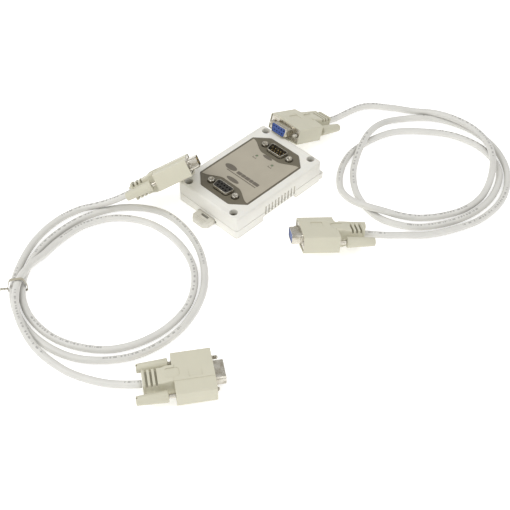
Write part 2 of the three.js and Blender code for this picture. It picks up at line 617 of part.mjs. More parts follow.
// A flat wire tie round the three strands on the left, its twisted ends pointing outwards.
function twistTie() {
  const { centre } = LOOPS.lead_left;
  const [bearing, distance, width, tail] = [THREE.MathUtils.degToRad(234.5), 63.4, 2, 7];
  const hug = (grow) => {
    const [x, top, z] = [6.3 + grow, 12 + grow, 0.42 - grow];
    return outline([[-x, z, 1.4], [x, z, 1.4], [x, 5, 2.6], [4.4 + grow, top, 3],
      [-4.4 - grow, top, 3], [-x, 5, 2.6]]);
  };
  const ring = along(hug(0.35), -width / 2, width / 2).subtract(along(hug(0), -width, width));
  const ends = joined(box(-6.4 - tail, -6.4, -0.9, 0.1, 3, 3.8),
    box(-5.2 - tail, -6.4, -0.1, 0.9, 3.4, 4.2));
  const place = new THREE.Matrix4().makeRotationZ(bearing + Math.PI)
    .setPosition(centre[0] + distance * Math.cos(bearing), centre[1] + distance * Math.sin(bearing), 0);
  return [ring.add(ends), place];
}

// ---------------------------------------------------------------- assembly
add('base_housing', baseHousing(), 'caseShell');
add('top_cover', topCover(), 'caseShell');
add('label_plate', labelPlate(), 'plate');
add('label_panel', labelPanel(), 'panel');
corners.forEach(([sx, sy], i) => {
  add(`cover_screw_${i + 1}`, coverScrew(sx * SCREW_X, sy * SCREW_Y), 'steel');
});
add('circuit_board', circuitBoard(), 'board');
add('isolator_block', box(-17, 3, -9, 2, boardTop + 0.2, ceiling - 1.3), 'black');
add('interface_chip', box(10, 20, -10, -3, boardTop + 0.2, boardTop + 2.7), 'black');
add('driver_chip', box(10, 20, 3, 10, boardTop + 0.2, boardTop + 2.7), 'black');
for (const [name, y, sockets] of [['port_near', -PORT_Y, true], ['port_far', PORT_Y, false]]) {
  add(`${name}_shell`, portShell(y), 'steel');
  add(`${name}_insulator`, portInsulator(y, sockets), 'black');
  add(`${name}_contacts`, portContacts(y, sockets), 'gold');
  add(`${name}_post_a`, jackPost(-JACK_X, y), 'steel');
  add(`${name}_post_b`, jackPost(JACK_X, y), 'steel');
}
const lensTop = plateZ + PLATE_T + PANEL_T;
add('light_pipe_a', post(-LED_X, LED_Y, LED_D / 2, boardTop + 0.3, lensTop, 14), 'lens');
add('light_pipe_b', post(LED_X, LED_Y, LED_D / 2, boardTop + 0.3, lensTop, 14), 'lens');
add('din_latch', dinLatch(), 'caseShell');
add('latch_spring', latchSpring(), 'steel');
for (const name of Object.keys(PLUGS)) addPlug(name);
for (const [name, loops] of Object.entries(LOOPS)) add(name, lead(loops), 'cable');
const [tieShape, tieMatrix] = twistTie();
add('twist_tie', tieShape, 'tie', tieMatrix);

group.position.y = (LATCH_OUT - LUG_OUT) / 2;

export default group;
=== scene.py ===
"""A DIN-rail serial signal converter lying between its two serial leads.

Sizes are in millimetres, and each mesh is scaled to metres as it is made. Case pieces are drawn
about the middle of the case, and plug pieces about the middle of the plug's front face.
"""

import math

import bmesh
import bpy
from mathutils import Matrix, Vector


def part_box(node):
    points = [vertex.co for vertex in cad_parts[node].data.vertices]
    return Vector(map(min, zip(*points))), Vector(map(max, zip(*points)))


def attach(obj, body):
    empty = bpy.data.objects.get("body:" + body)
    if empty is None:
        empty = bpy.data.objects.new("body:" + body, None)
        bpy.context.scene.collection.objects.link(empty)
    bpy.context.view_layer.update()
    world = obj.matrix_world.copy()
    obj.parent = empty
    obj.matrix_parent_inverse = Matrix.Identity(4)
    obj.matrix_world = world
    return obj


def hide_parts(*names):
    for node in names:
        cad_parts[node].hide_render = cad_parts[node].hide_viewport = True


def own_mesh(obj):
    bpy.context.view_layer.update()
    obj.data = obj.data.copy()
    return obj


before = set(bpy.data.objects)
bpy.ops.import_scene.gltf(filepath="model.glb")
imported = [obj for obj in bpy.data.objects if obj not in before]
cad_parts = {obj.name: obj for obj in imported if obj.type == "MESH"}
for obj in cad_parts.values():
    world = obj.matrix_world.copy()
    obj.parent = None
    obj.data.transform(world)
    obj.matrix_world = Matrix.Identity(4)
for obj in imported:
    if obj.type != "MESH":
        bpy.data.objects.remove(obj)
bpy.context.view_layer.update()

MM = 0.001


def box_mm(node):
    """A CAD node's lowest and highest corner in millimetres."""
    low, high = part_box(node)
    return Vector(low) / MM, Vector(high) / MM


# ---------------- sizes, from the frame where it can
cover_low, cover_high = box_mm("top_cover")
base_high = box_mm("base_housing")[1]
board_top = box_mm("circuit_board")[1].z
plate_low, plate_high = box_mm("label_plate")
panel_low, panel_high = box_mm("label_panel")
latch_low, latch_high = box_mm("din_latch")
spring_low, spring_high = box_mm("latch_spring")

CASE = Vector(((cover_low.x + cover_high.x) / 2, (cover_low.y + cover_high.y) / 2, 0))
CASE_W = cover_high.x - cover_low.x
CASE_L = cover_high.y - cover_low.y
CASE_H = cover_high.z
BASE_H = base_high.z
CASE_CORNER = 3.2
TOP_ROUND = 1.8
WALL = 2
FLOOR = 2
FIT = 0.3
ABOVE_BASE = 20
ABOVE_CASE = 30

RAIL_W = 35.5
RAIL_Y0 = -17.5
RAIL_Y1 = RAIL_Y0 + RAIL_W
RAIL_DEPTH = 4
RAIL_PAD = 0.2
PAD_X = 22
HOOK_X = 20
HOOK_W = 8
HOOK_OUT = 1.3
HOOK_T = 1.6
BOSS_R = 3.4
BOSS_GAP = 1.2
SCREW_X = 23.5
SCREW_Y = 41
SCREW_D = 2.9
SCREW_HEAD_D = 5.6
SCREW_HEAD_H = 1.6
SCREW_SINK = 4.2
PORT_Y = 28.7
JACK_X = 12.5
FLANGE_W = 30.8
FLANGE_D = 12.5
FLANGE_T = 0.8
FLANGE_TOP = 16.6
SHELL_W = 16.9
SHELL_D = 8.3
SHELL_T = 0.5
SHELL_RISE = 5.2
PIN_PITCH = 2.76
ROW_GAP = 2.84
PLATE_X = 25
PLATE_Y = 28
PLATE_END_X = 14.3
PLATE_END_Y = 37.4
PANEL_MARGIN = 1.3
RECESS = 1
LED_X = 8
LED_Y = 15
LED_D = 1.8
LATCH_W = 16
LATCH_T = latch_high.z - latch_low.z
LATCH_LIFT = 0.6
SLIDE_FIT = 0.4
GUIDE_SLOT_D = 1.4
GUIDE_SLOT_Z = (1.6, 3.6)
SPRING_WIRE = 0.3
SPRING_TURNS = 6
LUG_X = 26
LUG_W = 8
LUG_H = 4.6
VENT_N = 10
VENT_PITCH = 3.4
VENT_W = 1.5
VENT_FOOT = 5
VENT_TOP = 13
VENT_DEPTH = 0.9
VENT_MID = (RAIL_Y0 + RAIL_Y1) / 2

CABLE_D = 5.2
PLUG_W = 33
PLUG_L = 26
PLUG_SIDE_H = 12.6
PLUG_STRIP_W = 13
PLUG_STRIP_H = 15.5
NECK_W = 12.6
NECK_H = 12.2
NECK_L = 19.6
NECK_SLOT_PITCH = 3.1
NECK_SLOT_W = 1.5
PLUG_REAR = -PLUG_L - NECK_L
WINDOW_DEPTH = 0.55
THUMB_DEPTH = 0.85
PLUG_SHELL_OUT = 6.8
POCKET = 1.6
SHANK_L = 32.3
KNOB_L = 20.5
KNOB_R0 = 4
KNOB_R1 = 3.1
FLUTES = 12
SHANK_R = 1.5
THREAD_L = 5.6
THREAD_PITCH = 0.6

# Where each plug lies: middle of its front face, the bearing and rise of the way it points, and its
# roll about that line, in degrees; gaps is how far each thumbscrew's knob stands off the hood.
PLUGS = {
    "plug_near": dict(
        lead="lead_left_kit", pins=True, gaps=(2, 4.5),
        at=(110.2, -144.1, 8.1), bearing=55.2, rise=0, roll=0,
    ),
    "plug_lean": dict(
        lead="lead_left_kit", pins=True, gaps=(4, 4),
        at=(-23.5, -39.3, 35.1), bearing=59, rise=22, roll=35,
    ),
    "plug_far": dict(
        lead="lead_right_kit", pins=False, gaps=(3.3, 3.3),
        at=(-13, 50.5, 22.3), bearing=265, rise=19.5, roll=-4,
    ),
    "plug_side": dict(
        lead="lead_right_kit", pins=False, gaps=(5.4, 4),
        at=(68.8, -19.5, 13.3), bearing=231, rise=4.5, roll=-18.5,
    ),
}

# The leads' routes, as the CAD model has them: loop points are (bearing, distance, height) round a
# centre, and the others are (x, y, z), from the middle of the case.
LOOPS = {
    "lead_left": dict(
        start_at="plug_lean",
        end_at="plug_near",
        centre=(-4, -135),
        start=[(-54, -87, 11.2), (-63, -97.5, 6.4)],
        turns=[
            (158, 73, 3.2), (172, 71.2, 2.8), (190, 67.8, 2.8), (210, 65.4, 2.8),
            (234, 66.5, 3.4), (254, 68.2, 2.8), (278, 70.2, 2.8), (304, 72.8, 2.8),
            (332, 72.6, 2.8), (360, 69.6, 2.8), (390, 66.8, 2.8), (418, 66, 2.8),
            (444, 68.4, 2.8), (468, 72.2, 2.8), (492, 69.8, 2.8), (514, 64.6, 2.8),
            (536, 60.4, 2.8), (562, 59, 2.8), (592, 60.3, 3.4), (618, 62, 2.8), (648, 63.2, 2.8),
            (680, 64.2, 2.8), (710, 62.6, 2.8), (740, 61, 2.8), (770, 58.6, 2.8),
            (800, 56.6, 2.8), (830, 58, 2.8), (856, 58.6, 2.8), (880, 56, 2.8), (904, 53, 2.8),
            (922, 53, 3.8), (938, 56.6, 7.4), (955, 62.6, 9), (972, 67.4, 8.8), (988, 72.2, 8),
            (1003, 77.6, 5), (1018, 82.8, 2.9),
        ],
        finish=[(47, -204.5, 2.8), (66, -195, 3.8)],
    ),
    "lead_right": dict(
        start_at="plug_far",
        end_at="plug_side",
        centre=(86, 104),
        start=[(-8.4, 106, 3.2)],
        turns=[
            (160, 93.4, 3), (147, 84.8, 2.9), (134, 77.8, 3.4), (122, 73, 6.9), (109, 69.4, 8.4),
            (94, 66.8, 8.5), (79, 63, 8.4), (64, 57.8, 8.5), (48, 52.6, 7.9), (31, 49, 4.6),
            (12, 46.8, 2.8), (-12, 45.4, 2.8), (-38, 45.6, 2.8), (-58, 48.2, 2.8),
            (-72, 52, 4.6), (-84, 57.6, 8), (-95, 62.8, 8.5), (-107, 67, 6.4), (-121, 67.6, 3),
            (-138, 64.6, 2.8), (-158, 61, 2.8), (-180, 56.6, 2.8), (-206, 54.8, 2.8),
            (-232, 52.8, 2.8), (-258, 55.8, 2.8), (-284, 58.8, 2.8), (-310, 58.8, 2.8),
            (-338, 54.4, 2.8), (-364, 52.2, 2.8), (-392, 53.2, 2.8), (-420, 58.4, 2.8),
            (-445, 61.2, 2.8), (-470, 58.2, 2.8), (-495, 55, 2.8), (-515, 54.4, 4.2),
            (-530, 55.8, 7.8), (-544, 59.4, 8.5), (-558, 64, 6.8), (-574, 68.8, 3),
            (-598, 70.8, 2.8), (-622, 70.4, 2.8), (-646, 68, 2.8), (-672, 64.8, 2.8),
            (-700, 61.8, 2.8), (-728, 60.2, 2.8), (-752, 60.6, 2.8), (-770, 65, 3.2),
        ],
        finish=[(118.5, 41, 5.6), (109, 26, 9.6)],
    ),
}


# ---------------- materials
LOOK = {}


def new_material(name):
    """Adds an empty node material to the looks; returns its tree and its Principled shader."""
    mat = LOOK[name] = bpy.data.materials.new(name)
    mat.use_nodes = True
    return mat.node_tree, mat.node_tree.nodes["Principled BSDF"]


def node(tree, kind, **values):
    """A shader node with its properties and named inputs set."""
    made = tree.nodes.new(kind)
    for key, value in values.items():
        if hasattr(made, key):
            setattr(made, key, value)
        else:
            made.inputs[key.replace("_", " ")].default_value = value
    return made


def put(made, **values):
    """Sets inputs of a node to constants; an underscore in a name stands for a space."""
    for key, value in values.items():
        made.inputs[key.replace("_", " ")].default_value = value


def noise(tree, scale, detail=4, roughness=0.55, source=None):
    """Noise in the object's own space; scale is in features per metre."""
    if source is None:
        source = node(tree, "ShaderNodeTexCoord").outputs["Object"]
    made = node(tree, "ShaderNodeTexNoise", Scale=scale, Detail=detail, Roughness=roughness)
    tree.links.new(source, made.inputs["Vector"])
    return made.outputs["Fac"]


def spread(tree, value, low, high, out_low, out_high):
    """Maps value from low..high to out_low..out_high, held at both ends."""
    made = node(tree, "ShaderNodeMapRange", clamp=True)
    tree.links.new(value, made.inputs["Value"])
    put(made, From_Min=low, From_Max=high, To_Min=out_low, To_Max=out_high)
    return made.outputs["Result"]


def mix_colour(tree, factor, a, b, blend="MIX"):
    """Mixes two colours, each a constant or a socket."""
    made = node(tree, "ShaderNodeMix", data_type="RGBA", blend_type=blend)
    if isinstance(factor, float):
        made.inputs[0].default_value = factor
    else:
        tree.links.new(factor, made.inputs[0])
    for socket, colour in ((made.inputs[6], a), (made.inputs[7], b)):
        if isinstance(colour, tuple):
            socket.default_value = (*colour, 1)
        else:
            tree.links.new(colour, socket)
    return made.outputs[2]


def times(colour, by):
    """A colour with each channel multiplied."""
    return tuple(c * by for c in colour)


def clouded(tree, a, b, scale, detail, low=0.35, high=0.65, most=1.0):
    """A colour that drifts towards another in soft clouds, or in specks where scale is high."""
    return mix_colour(tree, spread(tree, noise(tree, scale, detail), low, high, 0.0, most), a, b)


def paint_corner_shade(tree, base, colour, reach, low, high, most):
    """Painted shade: turns what ambient occlusion finds in corners and hollows towards a darker
    colour.
    """
    shade = node(tree, "ShaderNodeAmbientOcclusion", samples=8, Distance=reach)
    return mix_colour(tree, spread(tree, shade.outputs["AO"], low, high, most, 0.0), base, colour)


def roughen(tree, shader, scale, detail, low, high):
    """Lets the roughness drift between two values."""
    drift = spread(tree, noise(tree, scale, detail), 0.3, 0.7, low, high)
    tree.links.new(drift, shader.inputs["Roughness"])


def bump(tree, shader, height, strength, distance, below=None):
    """Puts a bump on the shader, on top of another bump if one is given."""
    made = node(tree, "ShaderNodeBump", Strength=strength, Distance=distance)
    tree.links.new(height, made.inputs["Height"])
    if below is not None:
        tree.links.new(below, made.inputs["Normal"])
    tree.links.new(made.outputs["Normal"], shader.inputs["Normal"])
    return made.outputs["Normal"]


def moulded(name, colour, speck_and_shade, roughness, grain=5200, soft=0.0, coat=0.0):
    """Moulded plastic: cloudy colour, paler edges as a painted highlight, painted shade in corners
    and a spark-eroded grain.
    """
    tree, shader = new_material(name)
    base = clouded(tree, colour, times(colour, 0.955), 90, 5)
    base = clouded(tree, base, speck_and_shade, 2600, 2, 0.62, 0.72, 0.10)
    # painted shade: corners and hollows found by ambient occlusion turn towards the dark speck
    # colour
    base = paint_corner_shade(tree, base, speck_and_shade, 0.0022, 0.35, 0.9, 0.5)
    # painted highlight: sharp and rounded edges, found by pointiness, are made paler, as where
    # light catches them
    edge = node(tree, "ShaderNodeNewGeometry").outputs["Pointiness"]
    edge_highlight = spread(tree, edge, 0.52, 0.6, 0.0, 0.35)
    base = mix_colour(tree, edge_highlight, base, tuple(min(1.0, c * 1.08 + 0.015) for c in colour))
    tree.links.new(base, shader.inputs["Base Color"])
    roughen(tree, shader, 380, 3, roughness - 0.07, roughness + 0.08)
    wave = bump(tree, shader, noise(tree, 210, 2), 0.12, 0.0003)
    bump(tree, shader, noise(tree, grain, 3, 0.7), 0.4, 0.00004, wave)
    put(shader, Subsurface_Weight=soft, Subsurface_Radius=(0.0012, 0.001, 0.0007))
    put(shader, Subsurface_Scale=1.0, Coat_Weight=coat, Coat_Roughness=0.25)


def plated(name, colour, tarnish_and_reflection, roughness, drawn=False):
    """Plated metal: a bright coat with cloudy brownish patches, partly tarnish and partly a painted
    reflection of the beige surroundings, painted shade in corners, fine scratches and dull patches.
    """
    tree, shader = new_material(name)
    base = clouded(tree, colour, tarnish_and_reflection, 260, 5, 0.42, 0.68, 0.8)
    # painted shade: corners and hollows found by ambient occlusion turn towards a dark brown
    base = paint_corner_shade(tree, base, times(tarnish_and_reflection, 0.45), 0.0015, 0.3, 0.85, 0.7)
    tree.links.new(base, shader.inputs["Base Color"])
    roughen(tree, shader, 900, 4, roughness - 0.1, roughness + 0.14)
    put(shader, Metallic=1)
    place = node(tree, "ShaderNodeMapping", Scale=(1, 14, 14) if drawn else (1, 1, 1))
    tree.links.new(node(tree, "ShaderNodeTexCoord").outputs["Object"], place.inputs["Vector"])
    scratch = noise(tree, 1500, 3, 0.7, place.outputs["Vector"])
    bump(tree, shader, scratch, 0.25, 0.00002)


def printed(name, colour, fleck, roughness):
    """A screen-printed polyester label: even ink with a faint emboss and a satin coat."""
    tree, shader = new_material(name)
    base = clouded(tree, colour, times(colour, 0.93), 60, 4)
    base = clouded(tree, base, fleck, 3600, 1, 0.6, 0.7, 0.22)
    tree.links.new(base, shader.inputs["Base Color"])
    roughen(tree, shader, 150, 3, roughness - 0.06, roughness + 0.1)
    emboss = bump(tree, shader, noise(tree, 40, 2), 0.1, 0.0006)
    bump(tree, shader, noise(tree, 4200, 2), 0.25, 0.00002, emboss)
    put(shader, Coat_Weight=0.25, Coat_Roughness=0.3)


def jacket(name, colour, ink):
    """Soft cable jacket with faint lumps, a broken line of generic printed dashes and painted shade
    in its hollows.
    """
    print_width, print_repeat, print_share = 0.042, 118, 0.5
    tree, shader = new_material(name)
    base = clouded(tree, colour, times(colour, 0.94), 70, 4)
    uv = node(tree, "ShaderNodeUVMap", uv_map="UVMap")
    split = node(tree, "ShaderNodeSeparateXYZ")
    tree.links.new(uv.outputs["UV"], split.inputs["Vector"])

    def maths(operation, a, b):
        made = node(tree, "ShaderNodeMath", operation=operation)
        for socket, value in zip(made.inputs, (a, b)):
            if isinstance(value, (int, float)):
                socket.default_value = value
            else:
                tree.links.new(value, socket)
        return made.outputs[0]

    along, around = split.outputs["X"], split.outputs["Y"]
    off_top = maths("ABSOLUTE", maths("SUBTRACT", around, 0.5), 0)
    stripe = maths("LESS_THAN", off_top, print_width)
    part_way = maths("FRACT", maths("DIVIDE", along, print_repeat), 0)
    repeat = maths("LESS_THAN", part_way, print_share)
    flat = node(tree, "ShaderNodeCombineXYZ")
    tree.links.new(along, flat.inputs["X"])
    words = node(tree, "ShaderNodeTexNoise", noise_dimensions="2D", Scale=0.42, Detail=1)
    tree.links.new(flat.outputs["Vector"], words.inputs["Vector"])
    dashes = spread(tree, words.outputs["Fac"], 0.49, 0.52, 0.0, 0.5)
    inked = maths("MULTIPLY", maths("MULTIPLY", stripe, repeat), dashes)
    base = mix_colour(tree, inked, base, ink)
    # painted shade: where ambient occlusion finds the cable pressed against something, its colour
    # darkens
    base = paint_corner_shade(tree, base, times(colour, 0.45), 0.003, 0.3, 0.9, 0.45)
    tree.links.new(base, shader.inputs["Base Color"])
    roughen(tree, shader, 240, 3, 0.36, 0.5)
    lump = bump(tree, shader, noise(tree, 120, 2), 0.25, 0.0003)
    bump(tree, shader, noise(tree, 3800, 2), 0.25, 0.00002, lump)
    put(shader, Subsurface_Weight=0.08, Subsurface_Radius=(0.0015, 0.0014, 0.0012))
    put(shader, Subsurface_Scale=1.0)


# each moulded look's second colour is for specks and for the painted shade in corners
moulded("case_plastic", (0.80, 0.785, 0.725), (0.40, 0.37, 0.30), 0.5, soft=0.05)
moulded("latch_plastic", (0.66, 0.64, 0.565), (0.32, 0.29, 0.22), 0.45)
printed("plate_print", (0.138, 0.12, 0.08), (0.19, 0.165, 0.12), 0.5)
printed("panel_print", (0.435, 0.395, 0.31), (0.52, 0.48, 0.40), 0.42)
printed("mark_print", (0.145, 0.125, 0.095), (0.22, 0.20, 0.16), 0.45)
# the steel's warm tint and brownish clouds stand partly for a painted reflection of the beige
# surroundings
plated("steel", (0.66, 0.63, 0.555), (0.36, 0.32, 0.24), 0.26)
plated("drawn_steel", (0.64, 0.61, 0.55), (0.36, 0.32, 0.24), 0.3, drawn=True)
# the cover screws are drawn darker than plain steel: partly their own finish, partly painted shade
# of their deep wells
plated("screw_well_shade", (0.30, 0.275, 0.225), (0.14, 0.12, 0.09), 0.34)
plated("contact_gold", (0.62, 0.48, 0.23), (0.42, 0.30, 0.13), 0.3)
moulded("black_plastic", (0.021, 0.018, 0.013), (0.006, 0.005, 0.004), 0.55)
moulded("blue_plastic", (0.04, 0.088, 0.31), (0.01, 0.02, 0.09), 0.42)
moulded("board", (0.03, 0.16, 0.07), (0.01, 0.05, 0.02), 0.35, coat=0.3)
moulded("chip", (0.02, 0.02, 0.022), (0.01, 0.01, 0.01), 0.55)
moulded("light_lens", (0.20, 0.27, 0.16), (0.07, 0.10, 0.06), 0.18, coat=0.6)
moulded(
    "hood_plastic", (0.60, 0.577, 0.458), (0.25, 0.225, 0.15), 0.5, grain=4200, soft=0.04
)
jacket("cable_jacket", (0.70, 0.69, 0.65), (0.16, 0.15, 0.14))
moulded("tie", (0.42, 0.39, 0.30), (0.16, 0.14, 0.10), 0.45)


# ---------------- shapes, as bmeshes in millimetres
def outline(points, steps=8):
    """A closed outline through (x, y, corner radius), each corner rounded with a curve."""
    out = []
    count = len(points)
    for i, (x, y, r) in enumerate(points):
        here = Vector((x, y))
        before = (Vector(points[i - 1][:2]) - here).normalized()
        after = (Vector(points[(i + 1) % count][:2]) - here).normalized()
        if not r:
            out.append(here)
            continue
        half = math.acos(max(-1.0, min(1.0, before.dot(after)))) / 2
        a = here + before * r / math.tan(half)
        b = here + after * r / math.tan(half)
        for k in range(steps + 1):
            t = k / steps
            out.append(a * (1 - t) ** 2 + here * 2 * t * (1 - t) + b * t * t)
    return out


def round_rect(w, d, r, x=0.0, y=0.0, steps=8):
    """A rectangle about (x, y) with rounded corners."""
    w, d = w / 2, d / 2
    corners = ((x - w, y - d), (x + w, y - d), (x + w, y + d), (x - w, y + d))
    return outline([(cx, cy, r) for cx, cy in corners], steps)


def d_outline(w, d, grow=0.0):
    """The outline of a nine-way D connector, wide side towards +Y, grown by grow all round."""
    x, y = w / 2 + grow, d / 2 + grow
    slope = 2 * y * math.tan(math.radians(10))
    r = max(0.6, 2.2 + grow)
    return outline([(-x + slope, -y, r), (x - slope, -y, r), (x, y, r), (-x, y, r)])


def ellipse(x, y, a, b, sides):
    """An oval about (x, y), a and b from its middle to its ends."""
    angles = [2 * math.pi * i / sides for i in range(sides)]
    return [Vector((x + a * math.cos(turn), y + b * math.sin(turn))) for turn in angles]


def ring_of(r, sides=32):
    """A regular outline about the origin."""
    return ellipse(0, 0, r, r, sides)


def upright(p, z):
    """A point of an outline that lies flat, at height z."""
    return Vector((p.x, p.y, z))


def lengthways(p, y):
    """A point of an outline that faces along Y, at distance y."""
    return Vector((p.x, y, p.y))


def skinned(bm, rows, weld=0.0, mark=None):
    """Closes rows of vertices into a body; mark is told each side face, its row and its column."""
    for i, (low, high) in enumerate(zip(rows, rows[1:])):
        for k in range(len(low)):
            n = (k + 1) % len(low)
            face = bm.faces.new((low[k], low[n], high[n], high[k]))
            if mark:
                mark(face, i, k)
    bm.faces.new(rows[0])
    bm.faces.new(rows[-1])
    if weld:
        bmesh.ops.remove_doubles(bm, verts=bm.verts, dist=weld)
    bmesh.ops.recalc_face_normals(bm, faces=bm.faces)
    return bm


def loft(rings):
    """A closed body through rings of points, all with the same count."""
    bm = bmesh.new()
    return skinned(bm, [[bm.verts.new(p) for p in ring] for ring in rings], weld=1e-5)


def prism(points, z0, z1):
    """An outline in X and Y run up Z."""
    return loft([[upright(p, z) for p in points] for z in (z0, z1)])


def along(points, y0, y1):
    """An outline in X and Z run along Y."""
    return loft([[lengthways(p, y) for p in points] for y in (y0, y1)])


def block(x0, x1, y0, y1, z0, z1):
    """A square-edged box."""
    return prism([Vector(p) for p in ((x0, y0), (x1, y0), (x1, y1), (x0, y1))], z0, z1)


def side_block(side, x0, x1, *rest):
    """A block from x0 to x1 out from the middle, on one side."""
    return block(*sorted((side * x0, side * x1)), *rest)


def post(x, y, r, z0, z1, sides=32):
    """An upright cylinder."""
    return prism([p + Vector((x, y)) for p in ring_of(r, sides)], z0, z1)


def rod(x, z, r, y0, y1, sides=32):
    """A cylinder along Y."""
    return along([p + Vector((x, z)) for p in ring_of(r, sides)], y0, y1)


def turned(profile, x=0.0, z=0.0, sides=32):
    """A body turned about a line along Y, from (radius, y) pairs."""
    return loft(
        [[Vector((x + p.x, y, z + p.y)) for p in ring_of(max(r, 1e-3), sides)] for r, y in profile]
    )


def turned_up(profile, x=0.0, y=0.0, sides=32):
    """A body turned about an upright line, from (radius, z) pairs."""
    return loft(
        [[Vector((x + p.x, y + p.y, z)) for p in ring_of(max(r, 1e-3), sides)] for r, z in profile]
    )


def drawn_tube(w, d, back, face, end, stand):
    """A drawn D tube, flared at the face of its flange and drawn in a little at its end."""
    levels = (
        (0.3, back), (0.3, face), (0.08, face + 0.3), (0, face + 0.8), (0, end - 0.25), (-0.12, end)
    )
    return loft([[stand(p, level) for p in d_outline(w, d, grow)] for grow, level in levels])


def add_object(name, data):
    """A new object in the scene."""
    obj = bpy.data.objects.new(name, data)
    bpy.context.scene.collection.objects.link(obj)
    return obj


def merged(parts):
    """Puts several bmeshes into one, without joining them."""
    bm = bmesh.new()
    for part in parts:
        mesh = bpy.data.meshes.new("part")
        part.to_mesh(mesh)
        part.free()
        bm.from_mesh(mesh)
        bpy.data.meshes.remove(mesh)
    return bm


def combined(body, tools, operation):
    """Joins the tools to the body, cuts them out of it or keeps what they share."""
    made = []
    for bm in (body, merged(tools)):
        mesh = bpy.data.meshes.new("part")
        bm.to_mesh(mesh)
        bm.free()
        made.append(add_object("part", mesh))
    modifier = made[0].modifiers.new("join", "BOOLEAN")
    modifier.object = made[1]
    modifier.operation = operation
    modifier.solver = "EXACT"
    modifier.use_self = len(tools) > 1
    graph = bpy.context.evaluated_depsgraph_get()
    mesh = bpy.data.meshes.new_from_object(made[0].evaluated_get(graph))
    out = bmesh.new()
    out.from_mesh(mesh)
    bpy.data.meshes.remove(mesh)
    for obj in made:
        old = obj.data
        bpy.data.objects.remove(obj)
        bpy.data.meshes.remove(old)
    bmesh.ops.remove_doubles(out, verts=out.verts, dist=1e-4)
    return out


def cut(body, *tools):
    """The body with the tools cut out of it."""
    return combined(body, tools, "DIFFERENCE")


def join(body, *tools):
    """The body and the tools as one."""
    return combined(body, tools, "UNION")


CASE_PLACE = Matrix.Translation(CASE)


def piece(name, bm, slot, body, nodes=(), look=None, place=CASE_PLACE, soft=0.2, segments=2):
    """A finished piece: rounded edges, a material, and the CAD body and nodes it goes with."""
    bmesh.ops.dissolve_limit(bm, angle_limit=math.radians(0.4), verts=bm.verts, edges=bm.edges)
    bm.transform(Matrix.Scale(MM, 4) @ place)
    mesh = bpy.data.meshes.new(name)
    bm.to_mesh(mesh)
    bm.free()
    mesh.shade_smooth()
    obj = add_object(name, mesh)
    mesh.materials.append(LOOK[look or slot])
    if soft:
        modifier = obj.modifiers.new("rounding", "BEVEL")
        modifier.width = soft * MM
        modifier.segments = segments
        modifier.limit_method = "ANGLE"
        modifier.angle_limit = math.radians(38)
        modifier.harden_normals = True
    else:
        mesh.set_sharp_from_angle(angle=math.radians(32))
    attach(obj, body)
    if nodes:
        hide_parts(*nodes)
    return obj


# ---------------- the case
CORNERS = [(-1, -1), (1, -1), (1, 1), (-1, 1)]
SCREWS = [(sx * SCREW_X, sy * SCREW_Y) for sx, sy in CORNERS]
HX, HY = CASE_W / 2, CASE_L / 2
COVER_Z = cover_low.z
CEILING = CASE_H - WALL


def vent_grooves(z0, z1):
    """One cutter for each vent groove, in both long sides."""
    grooves = []
    for i in range(VENT_N):
        y = VENT_MID + (i - (VENT_N - 1) / 2) * VENT_PITCH
        edges = (y - VENT_W / 2, y + VENT_W / 2, z0, z1)
        grooves += [side_block(side, HX - VENT_DEPTH, HX + 1, *edges) for side in (-1, 1)]
    return grooves


def base_housing():
    """The tray with its rail channel, hooks, latch guide, screw bosses and lugs."""
    guide = LATCH_W / 2 + SLIDE_FIT
    guide_top = LATCH_LIFT + LATCH_T + SLIDE_FIT
    lug_out = base_high.y - CASE.y - HY
    lug_l = 2 * lug_out + 4
    body = prism(round_rect(CASE_W, CASE_L, CASE_CORNER), 0, BASE_H)
    lugs = [round_rect(LUG_W, lug_l, 2, side * LUG_X, HY - 2) for side in (-1, 1)]
    body = join(body, *[prism(lug, 0, LUG_H) for lug in lugs])
    inside = round_rect(CASE_W - 2 * WALL, CASE_L - 2 * WALL, CASE_CORNER - 1)
    slot = guide + GUIDE_SLOT_D
    cutters = [
        prism(inside, RAIL_DEPTH + FLOOR, ABOVE_BASE),
        block(-HX - 5, HX + 5, RAIL_Y0, RAIL_Y1, -1, RAIL_DEPTH),
        block(-HX + WALL, HX - WALL, RAIL_Y1 + WALL, HY - WALL, FLOOR, ABOVE_BASE),
        block(-guide, guide, -HY - 5, RAIL_Y0 + 1, -1, guide_top),
        block(-slot, slot, -HY - 5, RAIL_Y0 + 1, *GUIDE_SLOT_Z),
    ]
    cutters += [
        side_block(side, guide + 3, HX - WALL, -HY + WALL, RAIL_Y0 - WALL, FLOOR, ABOVE_BASE)
        for side in (-1, 1)
    ]
    body = cut(body, *cutters)
    body = cut(body, *vent_grooves(VENT_FOOT, BASE_H + 1))
    rib_end = spring_low.y - CASE.y - FIT
    rail_pad = (RAIL_Y0 + 6, RAIL_Y1 - 4, RAIL_DEPTH - RAIL_PAD, RAIL_DEPTH + 1)
    extras = [
        block(-2.4, 2.4, rib_end - 1.6, rib_end, 1, guide_top + 0.5),
        block(-PAD_X, PAD_X, *rail_pad),
    ]
    for side in (-1, 1):
        x0, x1 = side * HOOK_X - HOOK_W / 2, side * HOOK_X + HOOK_W / 2
        extras.append(block(x0, x1, RAIL_Y1 - HOOK_OUT, RAIL_Y1 + 0.5, 0, HOOK_T))
    extras += [post(x, y, BOSS_R, FLOOR - 0.5, BASE_H - 0.2) for x, y in SCREWS]
    body = join(body, *extras)
    return cut(body, *[post(x, y, SCREW_D / 2 + 0.2, FLOOR, ABOVE_BASE) for x, y in SCREWS])


